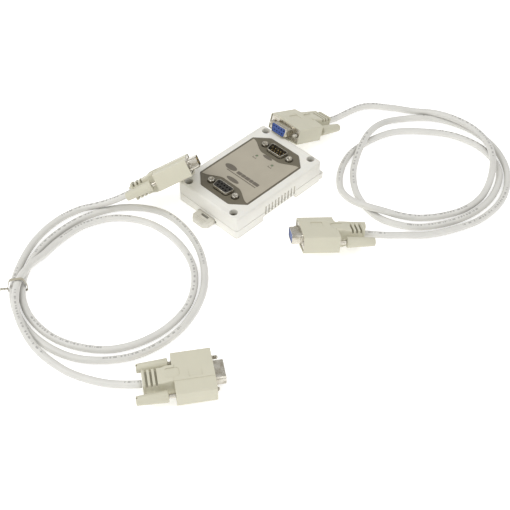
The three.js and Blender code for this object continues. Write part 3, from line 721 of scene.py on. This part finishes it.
def label_outline(grow):
    """The label plate: straight long sides, and ends narrowed by a slanted edge on either side."""
    a, b = PLATE_X + grow, PLATE_Y + grow
    c, d = PLATE_END_X + grow, PLATE_END_Y + grow
    near = [(-a, -b, 1.5), (-c, -d, 4), (c, -d, 4), (a, -b, 1.5)]
    return outline(near + [(-x, -y, r) for x, y, r in near])


def top_openings(z0, z1, extra=0.0):
    """Cutters for the ports, their jack posts and the light pipes."""
    holes = []
    for end in (-1, 1):
        shape = d_outline(SHELL_W, SHELL_D, 0.45 + extra)
        holes.append(prism([p + Vector((0, end * PORT_Y)) for p in shape], z0, z1))
        for side in (-1, 1):
            holes.append(post(side * JACK_X, end * PORT_Y, 2.95 + extra, z0, z1))
    for side in (-1, 1):
        holes.append(post(side * LED_X, LED_Y, LED_D / 2 + 0.2, z0, z1, 20))
    return holes


def top_cover():
    """The lid: a rounded shell with screw bosses and wells, a label recess, openings and vents."""
    def ring(inset, z):
        r = max(0.9, CASE_CORNER - inset)
        return [upright(p, z) for p in round_rect(CASE_W - 2 * inset, CASE_L - 2 * inset, r)]

    rings = [ring(0, COVER_Z)]
    for k in range(7):
        a = math.pi / 2 * k / 6
        rings.append(ring(TOP_ROUND * (1 - math.cos(a)), CASE_H - TOP_ROUND * (1 - math.sin(a))))
    inner = round_rect(CASE_W - 2 * WALL, CASE_L - 2 * WALL, CASE_CORNER - 1)
    body = cut(loft(rings), prism(inner, COVER_Z - 1, CEILING))
    boss_w, boss_l = 2 * (HX - SCREW_X - BOSS_GAP), 2 * (HY - SCREW_Y - 0.6)
    bosses = [
        prism(round_rect(boss_w, boss_l, 3.2, x, y), board_top - 0.4, CEILING + 0.5)
        for x, y in SCREWS
    ]
    body = join(body, *bosses)
    seat = CASE_H - SCREW_SINK - SCREW_HEAD_H
    wells = []
    for x, y in SCREWS:
        wells.append(post(x, y, SCREW_HEAD_D / 2 + 0.3, seat, CASE_H + 1))
        wells.append(post(x, y, SCREW_D / 2 + 0.3, 0, seat + 0.5))
    body = cut(body, *wells)
    body = cut(body, prism(label_outline(FIT), CASE_H - RECESS, CASE_H + 1))
    body = cut(body, *top_openings(CEILING - 1, CASE_H + 1))
    return cut(body, *vent_grooves(0, VENT_TOP))


def bezier(p0, p1, p2, p3, steps=12):
    """Points along a cubic curve, its first point left out."""
    p0, p1, p2, p3 = (Vector(p) for p in (p0, p1, p2, p3))
    out = []
    for k in range(1, steps + 1):
        t = k / steps
        s = 1 - t
        out.append(p0 * s**3 + p1 * 3 * s * s * t + p2 * 3 * s * t * t + p3 * t**3)
    return out


def panel_outline():
    """Straight long sides, and ends hollowed round the two ports."""
    x, y = PLATE_X - PANEL_MARGIN, PLATE_Y - 0.6
    in_x, in_y = 11, 20.4
    quarter = bezier((-x, y), (-x + 4.5, y + 0.5), (-in_x - 2, in_y + 0.5), (-in_x + 3, in_y))
    end = [Vector((-x, y)), *quarter]
    far = end + [Vector((-p.x, p.y)) for p in reversed(end)]
    return far + [Vector((-p.x, -p.y)) for p in far]


def printed_marks(z0, z1):
    """Generic printed marks: an oval and bars, an oval by each port, and a tick by each light."""
    ovals = ((-12.4, -8, 5.6, 2.7), (-1.6, -17.2, 6, 1.9), (-0.5, 19, 4.6, 1.5))
    marks = [prism(ellipse(*oval, 40), z0, z1) for oval in ovals]
    bars = [(-5.4, 4.6), (-0.6, 3.6), (3.2, 4.4), (7.8, 3.2), (11.2, 5.6)]
    for x, width in bars:
        marks.append(prism(round_rect(width, 3, 0.7, x + width / 2, -8.6, 4), z0, z1))
    marks.append(prism(round_rect(30, 0.8, 0.3, 1.5, -11.6, 4), z0, z1))
    for side in (-1, 1):
        x = side * LED_X
        tick = block(x - 1.7, x + 1.7, LED_Y - 3.4, LED_Y - 2, z0, z1)
        marks.append(cut(tick, block(x - 1.2, x + 1.2, LED_Y - 2.9, LED_Y, z0 - 1, z1 + 1)))
    return merged(marks)


def cover_screw(x, y):
    """A domed pan head with a cross recess, on a ribbed shank."""
    top = CASE_H - SCREW_SINK
    seat = top - SCREW_HEAD_H + 0.1
    r, crest = SCREW_HEAD_D / 2, SCREW_D / 2
    root = crest - 0.25
    profile = [(0, FLOOR + 0.6), (0.7, FLOOR + 0.6)]
    z = FLOOR + 1.4
    while z < BASE_H:
        profile += [(root, z), (crest, z + 0.35), (root, z + 0.7)]
        z += 1.0
    profile += [(root, seat), (r, seat), (r, seat + 0.5)]
    profile += [(r - 0.35, top - 0.35), (r - 1.2, top), (0, top)]
    arm, half = 1.5, 0.35
    cross = [
        block(x - arm, x + arm, y - half, y + half, top - 0.9, top + 1),
        block(x - half, x + half, y - arm, y + arm, top - 0.9, top + 1),
        post(x, y, 0.62, top - 1.1, top + 1, 16),
    ]
    return cut(turned_up(profile, x, y), *cross)


def build_case():
    """The case, its label, its cover screws and its light pipes."""
    root = "converter"
    piece("case_base", base_housing(), "case_plastic", root, ["base_housing"], soft=0.25)
    piece("case_cover", top_cover(), "case_plastic", root, ["top_cover"], soft=0.3, segments=3)
    for name, shape, low, high, gap, slot, soft in (
        ("plate", label_outline(0), plate_low.z, plate_high.z, 0.1, "plate_print", 0.08),
        ("panel", panel_outline(), panel_low.z, panel_high.z, 0.2, "panel_print", 0.06),
    ):
        sheet = cut(prism(shape, low, high), *top_openings(0, ABOVE_CASE, gap))
        piece(name, sheet, slot, root, [f"label_{name}"], soft=soft)
    marks = printed_marks(panel_high.z - 0.01, panel_high.z + 0.03)
    piece("panel_marks", marks, "plate_print", root, look="mark_print", soft=0)
    for i, (x, y) in enumerate(SCREWS, 1):
        name = f"cover_screw_{i}"
        screw = cover_screw(x, y)
        # the cover screws take the darker look, partly painted shade of their deep wells
        piece(f"{name}_body", screw, "steel", root, [name], look="screw_well_shade", soft=0.05)
    for name, x in (("light_pipe_a", -LED_X), ("light_pipe_b", LED_X)):
        low, high = box_mm(name)
        r, top = LED_D / 2, high.z
        dome = [(0, low.z), (r, low.z), (r, top - 0.35), (r * 0.8, top - 0.08)]
        dome += [(r * 0.4, top), (0, top)]
        lens = turned_up(dome, x, LED_Y, 24)
        piece(f"{name}_lens", lens, "light_lens", root, [name], soft=0)


# ---------------- connectors
def pin_places():
    """A row of five contacts and a row of four."""
    places = [((i - 2) * PIN_PITCH, ROW_GAP / 2) for i in range(5)]
    return places + [((i - 1.5) * PIN_PITCH, -ROW_GAP / 2) for i in range(4)]


def port_shell():
    """A flange with a drawn D tube, standing up."""
    z = FLANGE_TOP
    tube = drawn_tube(SHELL_W, SHELL_D, z - FLANGE_T, z, z + SHELL_RISE, upright)
    body = join(prism(round_rect(FLANGE_W, FLANGE_D, 1.5), z - FLANGE_T, z), tube)
    holes = [prism(d_outline(SHELL_W, SHELL_D, -SHELL_T), 0, ABOVE_CASE)]
    holes += [post(side * JACK_X, 0, 1.75, 0, ABOVE_CASE) for side in (-1, 1)]
    return cut(body, *holes)


def port_insulator(sockets):
    """The moulded block inside the shell: tall with sockets, or low with pins standing in it."""
    z = FLANGE_TOP - FLANGE_T - 0.1
    top = FLANGE_TOP + (SHELL_RISE - 0.3 if sockets else 0.6)
    body = join(
        prism(round_rect(19, 10.6, 1), board_top + 1, z),
        prism(d_outline(SHELL_W, SHELL_D, -SHELL_T - 0.12), z - 0.5, top),
    )
    r = 0.75 if sockets else 0.6
    return cut(body, *[post(x, y, r, 0, ABOVE_CASE, 20) for x, y in pin_places()])


def contacts(z0, top, sockets, r=0.47):
    """Nine round-nosed contacts standing on the strip that joins them."""
    parts = [block(-6.4, 6.4, -2, 2, z0, z0 + 0.5)]
    for x, y in pin_places():
        if sockets:
            tip = [(r, top), (r * 0.6, top), (r * 0.6, top - 2), (0, top - 2)]
        else:
            tip = [(r, top - 0.5), (r * 0.86, top - 0.22), (r * 0.5, top - 0.04), (0, top)]
        parts.append(turned_up([(0, z0 + 0.4), (r, z0 + 0.4), *tip], x, y, 16))
    return merged(parts)


def jack_post(x, y):
    """A hexagonal jack post, its corners chamfered, with a threaded socket and a shank below."""
    z, top, r = FLANGE_TOP + 0.1, FLANGE_TOP + SHELL_RISE - 0.5, 2.7
    chamfer = turned_up([(0, z), (r, z), (r, top - 0.35), (2.3, top), (0, top)], x, y)
    body = combined(post(x, y, r, z, top, 6), [chamfer], "INTERSECT")
    body = join(body, post(x, y, 1.45, board_top + 0.2, z + 0.2))
    thread = [(0, z + 0.8), (1.2, z + 0.8)]
    level = z + 0.9
    while level < top - 0.5:
        thread += [(1.25, level), (1.45, level + 0.2), (1.25, level + 0.4)]
        level += 0.5
    thread += [(1.35, top - 0.3), (1.6, top + 0.01), (1.6, top + 1), (0, top + 1)]
    return cut(body, turned_up(thread, x, y))


def kit(name, body, place):
    """The list of a connector's pieces, and the function that adds one to it."""
    made = []

    def add(part, bm, slot, node=None, on=body, at=place, **more):
        nodes = [f"{name}_{node}"] if node else ()
        made.append(piece(f"{name}_{part}", bm, slot, on, nodes, place=at, **more))

    return made, add


def build_ports():
    """The socket port at the latch's end and the pin port at the other."""
    for name, y, sockets in (("port_near", -PORT_Y, True), ("port_far", PORT_Y, False)):
        _, add = kit(name, "converter", CASE_PLACE @ Matrix.Translation((0, y, 0)))
        add("metal", port_shell(), "steel", "shell", soft=0.1)
        add("block", port_insulator(sockets), "black_plastic", "insulator", soft=0.08)
        top = FLANGE_TOP + SHELL_RISE - (2 if sockets else 0.8)
        pins = contacts(board_top + 0.2, top, sockets)
        add("pins", pins, "contact_gold", "contacts", soft=0)
        for end, x in (("a", -JACK_X), ("b", JACK_X)):
            add(f"nut_{end}", jack_post(x, 0), "steel", f"post_{end}", soft=0.06)


# ---------------- rail latch and its spring
def rail_latch():
    """A flat slide with side ribs, a spring window and a slotted finger tab with grip ridges."""
    y0, y1 = latch_low.y - CASE.y, latch_high.y - CASE.y
    h, z0 = LATCH_W / 2, latch_low.z
    shoulder = y0 + 3.4
    tab = [(-h + 3, y0, 0.8), (h - 3, y0, 0.8), (h, shoulder, 0.8)]
    plan = outline([*tab, (h, y1, 0), (-h, y1, 0), (-h, shoulder, 0.8)])
    top = z0 + LATCH_T
    body = prism(plan, z0, top)
    window0 = spring_low.y - CASE.y - 3.7
    body = cut(
        body,
        block(-h - 1, h + 1, RAIL_Y0 - 0.6, y1 + 1, z0 + 1.4, 10),
        prism(round_rect(7.2, 2.2, 0.9, 0, -HY - 2.1), -1, 10),
        block(-3.2, 3.2, window0, spring_high.y - CASE.y + FIT, -1, 10),
    )
    ribs = [
        side_block(side, h - 0.5, h + 1, -HY + 4, RAIL_Y0 - 2, 2, 3.2) for side in (-1, 1)
    ]
    grip = [
        block(-4.6, 4.6, y0 + 1.4 + 1.3 * i, y0 + 2 + 1.3 * i, top - 0.3, top + 0.35)
        for i in range(3)
    ]
    return join(body, *ribs, *grip)


def coil(turns, r, wire, y0, y1, z):
    """A coil spring along Y, r from its middle to the middle of its wire."""
    sides = 10
    bm = bmesh.new()
    rows = []
    count = turns * 28
    for i in range(count + 1):
        t = i / count
        a = 2 * math.pi * turns * t
        mid = Vector((r * math.cos(a), y0 + (y1 - y0) * t, z + r * math.sin(a)))
        out = Vector((math.cos(a), 0, math.sin(a)))
        rows.append([
            bm.verts.new(mid + out * wire * math.cos(b) + Vector((0, 1, 0)) * wire * math.sin(b))
            for b in (2 * math.pi * k / sides for k in range(sides))
        ])
    return skinned(bm, rows)


def build_latch():
    """The rail latch, and the spring that the latch shortens as it slides."""
    latch, nodes = rail_latch(), ["din_latch"]
    piece("latch_body", latch, "case_plastic", "rail_latch", nodes, look="latch_plastic")
    middle = (spring_low.z + spring_high.z) / 2
    wire = SPRING_WIRE
    y0, y1 = spring_low.y - CASE.y + wire, spring_high.y - CASE.y - wire
    r = (spring_high.z - spring_low.z) / 2 - wire
    wound, nodes = coil(SPRING_TURNS, r, wire, y0, y1, middle), ["latch_spring"]
    spring = piece("latch_coil", wound, "steel", "converter", nodes, look="drawn_steel", soft=0)
    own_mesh(spring)


# ---------------- plugs
def plug_place(at, bearing, rise, roll, **_):
    """The matrix from a plug's own frame, +Y the way it points and X its width, to the model's."""
    b, e, r = (math.radians(v) for v in (bearing, rise, roll))
    way = Vector((math.cos(b) * math.cos(e), math.sin(b) * math.cos(e), math.sin(e)))
    level = Vector((math.sin(b), -math.cos(b), 0))
    across = Matrix.Rotation(-r, 3, way) @ level
    up = across.cross(way)
    turn = Matrix((across, way, up)).transposed().to_4x4()
    return CASE_PLACE @ Matrix.Translation(at) @ turn


def plug_hood():
    """The moulded hood: a stepped body, a slotted neck, two windows a side and the front pocket."""
    w, side = PLUG_W / 2, PLUG_SIDE_H / 2
    sw, strip = PLUG_STRIP_W / 2, PLUG_STRIP_H / 2
    half = [(w, -side, 1.1), (w, side, 1.1), (sw + 0.4, side + 0.6, 0.25), (sw, strip, 0.5)]
    body = along(outline(half + [(-x, -z, r) for x, z, r in half], 6), -PLUG_L, 0)
    rear = PLUG_REAR
    neck = loft([
        [lengthways(p, y) for p in round_rect(nw, nh, 1.3)]
        for y, nw, nh in (
            (rear + 1, NECK_W, NECK_H),
            (-PLUG_L - 7, NECK_W, NECK_H + 0.3),
            (-PLUG_L - 4, PLUG_STRIP_W, PLUG_STRIP_H - 0.8),
            (-PLUG_L + 1, PLUG_STRIP_W, PLUG_STRIP_H - 0.6),
        )
    ])
    cap = along(round_rect(NECK_W + 0.6, NECK_H + 0.6, 1.3), rear, rear + 1.2)
    body = join(body, neck, cap)
    cutters = []
    for i in range(3):
        y = rear + 1.8 + i * NECK_SLOT_PITCH
        for face in (-1, 1):
            z = face * (NECK_H / 2 - 1.1)
            cutters.append(block(-NECK_W, NECK_W, y, y + NECK_SLOT_W, z - 1.3, z + 1.3))
    square = round_rect(10.4, 8.6, 0.6, 0, -12.1)
    oval = round_rect(7.6, 10.2, 3, 0, -PLUG_L - 0.9)
    for face in (-1, 1):
        for shape, depth in ((square, WINDOW_DEPTH), (oval, THUMB_DEPTH)):
            cutters.append(prism(shape, *sorted((face * (strip - depth), face * (strip + 1)))))
    body = cut(body, *cutters)
    bores = [rod(end * JACK_X, 0, SHANK_R + 0.4, -PLUG_L - 1, 1) for end in (-1, 1)]
    front = [along(round_rect(31.8, 11.4, 0.8), -POCKET, 1), block(-10, 10, -3.8, -0.8, -4, 4)]
    return cut(cut(body, *front), *bores)


def plug_sizes(pins):
    """Width and depth of the shell: a socket connector's fits inside a pin connector's."""
    return (SHELL_W, SHELL_D) if pins else (SHELL_W - 0.6, SHELL_D - 0.4)


def plug_shell(pins):
    """A flange with a drawn D tube, facing forward."""
    w, d = plug_sizes(pins)
    y0, y1 = -POCKET + FIT, -POCKET + FIT + FLANGE_T
    tube = drawn_tube(w, d, y0, y1, PLUG_SHELL_OUT, lengthways)
    body = join(along(round_rect(FLANGE_W, 10.8, 0.8), y0, y1), tube)
    holes = [along(d_outline(w, d, -SHELL_T), -9, 20)]
    holes += [rod(end * JACK_X, 0, SHANK_R + 0.4, -9, 9) for end in (-1, 1)]
    return cut(body, *holes)


def plug_insulator(pins):
    """The moulded block inside a plug's shell."""
    w, d = plug_sizes(pins)
    front = 0.6 if pins else PLUG_SHELL_OUT - 0.3
    body = along(d_outline(w, d, -SHELL_T - 0.12), -2.2, front)
    r, y0 = (0.6, -9) if pins else (0.62, 1.5)
    return cut(body, *[rod(x, z, r, y0, 20, 20) for x, z in pin_places()])


def thumb_knob(x, gap):
    """A tapered moulded knob with shallow flutes and a driver slot in its end."""
    y0 = -PLUG_L - gap
    end = y0 - KNOB_L
    profile = [(0, end), (KNOB_R1 - 0.6, end), (KNOB_R1 - 0.15, end + 0.2), (KNOB_R1, end + 0.7)]
    profile += [(KNOB_R0, y0 - 0.9), (KNOB_R0 - 0.15, y0 - 0.3), (KNOB_R0 - 0.6, y0), (0, y0)]
    body = turned(profile, x, 0, 40)
    slot = block(x - 0.5, x + 0.5, end - 1, end + 1.1, -5, 5)
    flutes = []
    for k in range(FLUTES):
        a = 2 * math.pi * k / FLUTES
        fx, fz = x + (KNOB_R0 + 0.35) * math.cos(a), (KNOB_R0 + 0.35) * math.sin(a)
        flutes.append(rod(fx, fz, 0.55, y0 - KNOB_L * 0.55, y0 - 1.6, 12))
    return cut(cut(body, slot), *flutes)


def thumb_shank(x, gap):
    """The bare steel screw between knob and tip, threaded at the tip."""
    tip = -PLUG_L - gap + SHANK_L
    y0, y = -PLUG_L - gap - 0.4, tip - THREAD_L
    profile = [(0, y0), (SHANK_R, y0), (SHANK_R, y - 0.3)]
    while y < tip - 0.9:
        profile += [(SHANK_R - 0.28, y), (SHANK_R, y + 0.3)]
        y += THREAD_PITCH
    profile += [(SHANK_R - 0.5, tip - 0.2), (SHANK_R - 0.8, tip), (0, tip)]
    return turned(profile, x, 0, 24)


def build_plug(name, spot):
    """Every piece of one plug, in its place; returns them for the lead that carries them."""
    place = plug_place(**spot)
    pins = spot["pins"]
    made, add = kit(name, spot["lead"], place)
    add("grip", plug_hood(), "hood_plastic", "hood", soft=0.45, segments=3)
    add("metal", plug_shell(pins), "steel", "shell", soft=0.1)
    plastic = "black_plastic" if pins else "blue_plastic"
    add("block", plug_insulator(pins), plastic, "insulator", soft=0.08)
    if pins:
        # contacts stand along +Z, so they are tipped forward to point along +Y
        tip = place @ Matrix.Rotation(math.radians(-90), 4, "X") @ Matrix.Rotation(math.pi, 4, "Z")
        bm = contacts(-3.3, PLUG_SHELL_OUT - 0.8, False)
        add("contacts", bm, "contact_gold", "pins", at=tip, soft=0)
    for end, x, gap in (("a", -JACK_X, spot["gaps"][0]), ("b", JACK_X, spot["gaps"][1])):
        screw = f"{name}_thumbscrew_{end}"
        knob = thumb_knob(x, gap)
        add(f"knob_{end}", knob, "hood_plastic", f"screw_{end}", on=screw, soft=0.15)
        add(f"shank_{end}", thumb_shank(x, gap), "steel", on=screw, soft=0)
    return made


# ---------------- leads
def catmull_rom(points, per_span):
    """A centripetal Catmull-Rom curve through the points."""
    ends = [points[0] * 2 - points[1], *points, points[-1] * 2 - points[-2]]
    out = [points[0]]
    for i in range(len(points) - 1):
        p0, p1, p2, p3 = ends[i : i + 4]
        t0, t1, t2 = ((b - a).length ** 0.5 for a, b in ((p0, p1), (p1, p2), (p2, p3)))
        m1 = ((p1 - p0) / t0 - (p2 - p0) / (t0 + t1) + (p2 - p1) / t1) * t1
        m2 = ((p2 - p1) / t1 - (p3 - p1) / (t1 + t2) + (p3 - p2) / t2) * t1
        for k in range(1, per_span + 1):
            t = k / per_span
            out.append(
                p1 * (2 * t**3 - 3 * t * t + 1) + m1 * (t**3 - 2 * t * t + t)
                + p2 * (-2 * t**3 + 3 * t * t) + m2 * (t**3 - t * t)
            )
    return out


def round_centre(centre, angle, distance):
    """The x and y of a point at an angle and a distance from a centre."""
    return centre[0] + distance * math.cos(angle), centre[1] + distance * math.sin(angle)


def lead_path(start_at, end_at, centre, start, turns, finish):
    """The route in millimetres in the model's frame, close together."""
    def rear(name, extra):
        return plug_place(**PLUGS[name]) @ Vector((0, PLUG_REAR - extra, 0))

    def loop(bearing, distance, z):
        return CASE + Vector((*round_centre(centre, math.radians(bearing), distance), z))

    points = [rear(start_at, FIT), rear(start_at, 2)]
    points += [CASE + Vector(p) for p in start]
    points += [loop(*p) for p in turns]
    points += [CASE + Vector(p) for p in finish]
    points += [rear(end_at, 2), rear(end_at, FIT)]
    return catmull_rom(points, 9)


def sweep(path, r, sides=20):
    """A round tube along a path; its UVs are the distance along it and the way round it."""
    bm = bmesh.new()
    layer = bm.loops.layers.uv.new("UVMap")
    rows, far = [], [0.0]
    normal = Vector((0, 0, 1))
    for i, p in enumerate(path):
        ahead = path[min(i + 1, len(path) - 1)] - path[max(i - 1, 0)]
        way = ahead.normalized()
        normal = (normal - way * normal.dot(way)).normalized()
        side = way.cross(normal)
        if i:
            far.append(far[-1] + (p - path[i - 1]).length)
        rows.append([
            bm.verts.new(p - normal * r * math.cos(a) + side * r * math.sin(a))
            for a in (2 * math.pi * k / sides for k in range(sides))
        ])

    def mark(face, i, k):
        spots = ((far[i], k), (far[i], k + 1), (far[i + 1], k + 1), (far[i + 1], k))
        for corner, (u, v) in zip(face.loops, spots):
            corner[layer].uv = (u, v / sides)

    return skinned(bm, rows, mark=mark)


def build_tie():
    """A twist tie round the three strands on the left: a flat band and two twisted ends."""
    bearing, distance, width = math.radians(234.5), 63.4, 2
    tail, twists, twisted, wire = 7, 1.75, 0.7, 0.42

    def hug(grow):
        x, top, z = 6.3 + grow, 12 + grow, 0.42 - grow
        half = [(x, z, 1.4), (x, 5, 2.6), (4.4 + grow, top, 3)]
        return outline([(-x, z, 1.4), *half, *((-px, pz, r) for px, pz, r in reversed(half[1:]))])

    def end_path(k, flare):
        path = []
        for i in range(41):
            t = i / 40
            a = math.pi * k + 2 * math.pi * twists * min(t, twisted)
            past = max(0.0, t - twisted)
            out = wire + past * 4.5
            lift = 0.35 * math.sin(2.2 * t) + past * flare * 3
            z = 3.6 + wire * math.sin(a) + lift
            path.append(Vector((-6.5 - tail * t, out * math.cos(a), z)))
        return path

    spot = Vector((*round_centre(LOOPS["lead_left"]["centre"], bearing, distance), 0))
    turn = Matrix.Rotation(bearing + math.pi, 4, "Z")
    where = dict(place=CASE_PLACE @ Matrix.Translation(spot) @ turn)
    body = "lead_left_kit"
    band = cut(along(hug(0.35), -width / 2, width / 2), along(hug(0), -width, width))
    made = [piece("tie_band", band, "tie", body, ["twist_tie"], soft=0.08, **where)]
    for k, flare in enumerate((0.9, -1.1)):
        bm = sweep(end_path(k, flare), 0.38, 10)
        made.append(piece(f"tie_end_{k + 1}", bm, "tie", body, soft=0, **where))
    return made


def build_lead(name):
    """A lead's cable, which carries its plugs."""
    path = lead_path(**LOOPS[name])
    bm = sweep(path, CABLE_D / 2)
    body, place = PLUGS[LOOPS[name]["start_at"]]["lead"], Matrix.Identity(4)
    cable = piece(f"{name}_cable", bm, "cable_jacket", body, [name], place=place, soft=0)


# ---------------- stage
FLOOR_SIZE = 3
FLOOR_DROP = 0.0002
FLOOR_WHITE = 0.93
FLOOR_GLOW = 0.44
WORLD_LIGHT = 0.62
LIGHT_AIM = Vector((0.03, -0.03, 0))
# each light's place in metres, its width and its power
LIGHTS = {
    "key": ((-0.35, -0.75, 0.95), 0.9, 5.8),
    "fill": ((0.95, -0.35, 0.7), 0.9, 1.3),
    "top": ((0.55, 0.35, 1.2), 1.0, 3.0),
}


def build_stage():
    """A white floor, a white surround and soft studio light."""
    world = bpy.data.worlds.new("studio")
    world.use_nodes = True
    put(world.node_tree.nodes["Background"], Color=(1, 1, 1, 1), Strength=WORLD_LIGHT)
    bpy.context.scene.world = world
    floor = bmesh.new()
    bmesh.ops.create_grid(floor, x_segments=1, y_segments=1, size=FLOOR_SIZE)
    mesh = bpy.data.meshes.new("floor")
    floor.to_mesh(mesh)
    floor.free()
    obj = add_object("floor", mesh)
    obj.location = (0, 0, -FLOOR_DROP)
    _, shader = new_material("floor_white")
    put(shader, Base_Color=(FLOOR_WHITE, FLOOR_WHITE, FLOOR_WHITE, 1), Roughness=0.9)
    put(shader, Emission_Color=(1, 1, 1, 1), Emission_Strength=FLOOR_GLOW)
    mesh.materials.append(LOOK["floor_white"])
    for name, (spot, size, power) in LIGHTS.items():
        light = bpy.data.lights.new(name, "AREA")
        light.size = size
        light.energy = power
        lamp = add_object(name, light)
        lamp.location = spot
        lamp.rotation_euler = (LIGHT_AIM - Vector(spot)).to_track_quat("-Z", "Y").to_euler()
    bpy.context.scene.view_settings.view_transform = "Standard"


def build_camera():
    azimuth, elevation, roll = (math.radians(v) for v in (44.1, 46.7, 0.6))
    distance, lens_pixels, picture, sensor = 716.8, 1000, 510, 36
    target = CASE + Vector((51.0, -46.8, 0))
    flat = math.cos(elevation)
    back = Vector((math.sin(azimuth) * flat, -math.cos(azimuth) * flat, math.sin(elevation)))
    level = Vector((math.cos(azimuth), math.sin(azimuth), 0))
    right = level * math.cos(roll) + back.cross(level) * math.sin(roll)
    up = back.cross(right)
    data = bpy.data.cameras.new("camera")
    data.sensor_width = sensor
    data.lens = sensor * lens_pixels / picture
    data.clip_start = 0.01
    camera = add_object("camera", data)
    turn = Matrix((right, up, back)).transposed().to_4x4()
    camera.matrix_world = Matrix.Translation((target + back * distance) * MM) @ turn
    bpy.context.scene.camera = camera


def dress_inside():
    """The parts inside the case keep their CAD shape and get their own materials."""
    for name, look in (
        ("circuit_board", "board"),
        ("isolator_block", "chip"),
        ("interface_chip", "chip"),
        ("driver_chip", "chip"),
    ):
        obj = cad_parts[name]
        obj.data.materials.clear()
        obj.data.materials.append(LOOK[look])
        rounding = obj.modifiers.new("rounding", "BEVEL")
        rounding.width = 0.15 * MM
        rounding.segments = 2


build_camera()
build_case()
build_ports()
build_latch()
dress_inside()
plugs = {name: build_plug(name, spot) for name, spot in PLUGS.items()}
tie = build_tie()
build_lead("lead_left")
build_lead("lead_right")
build_stage()
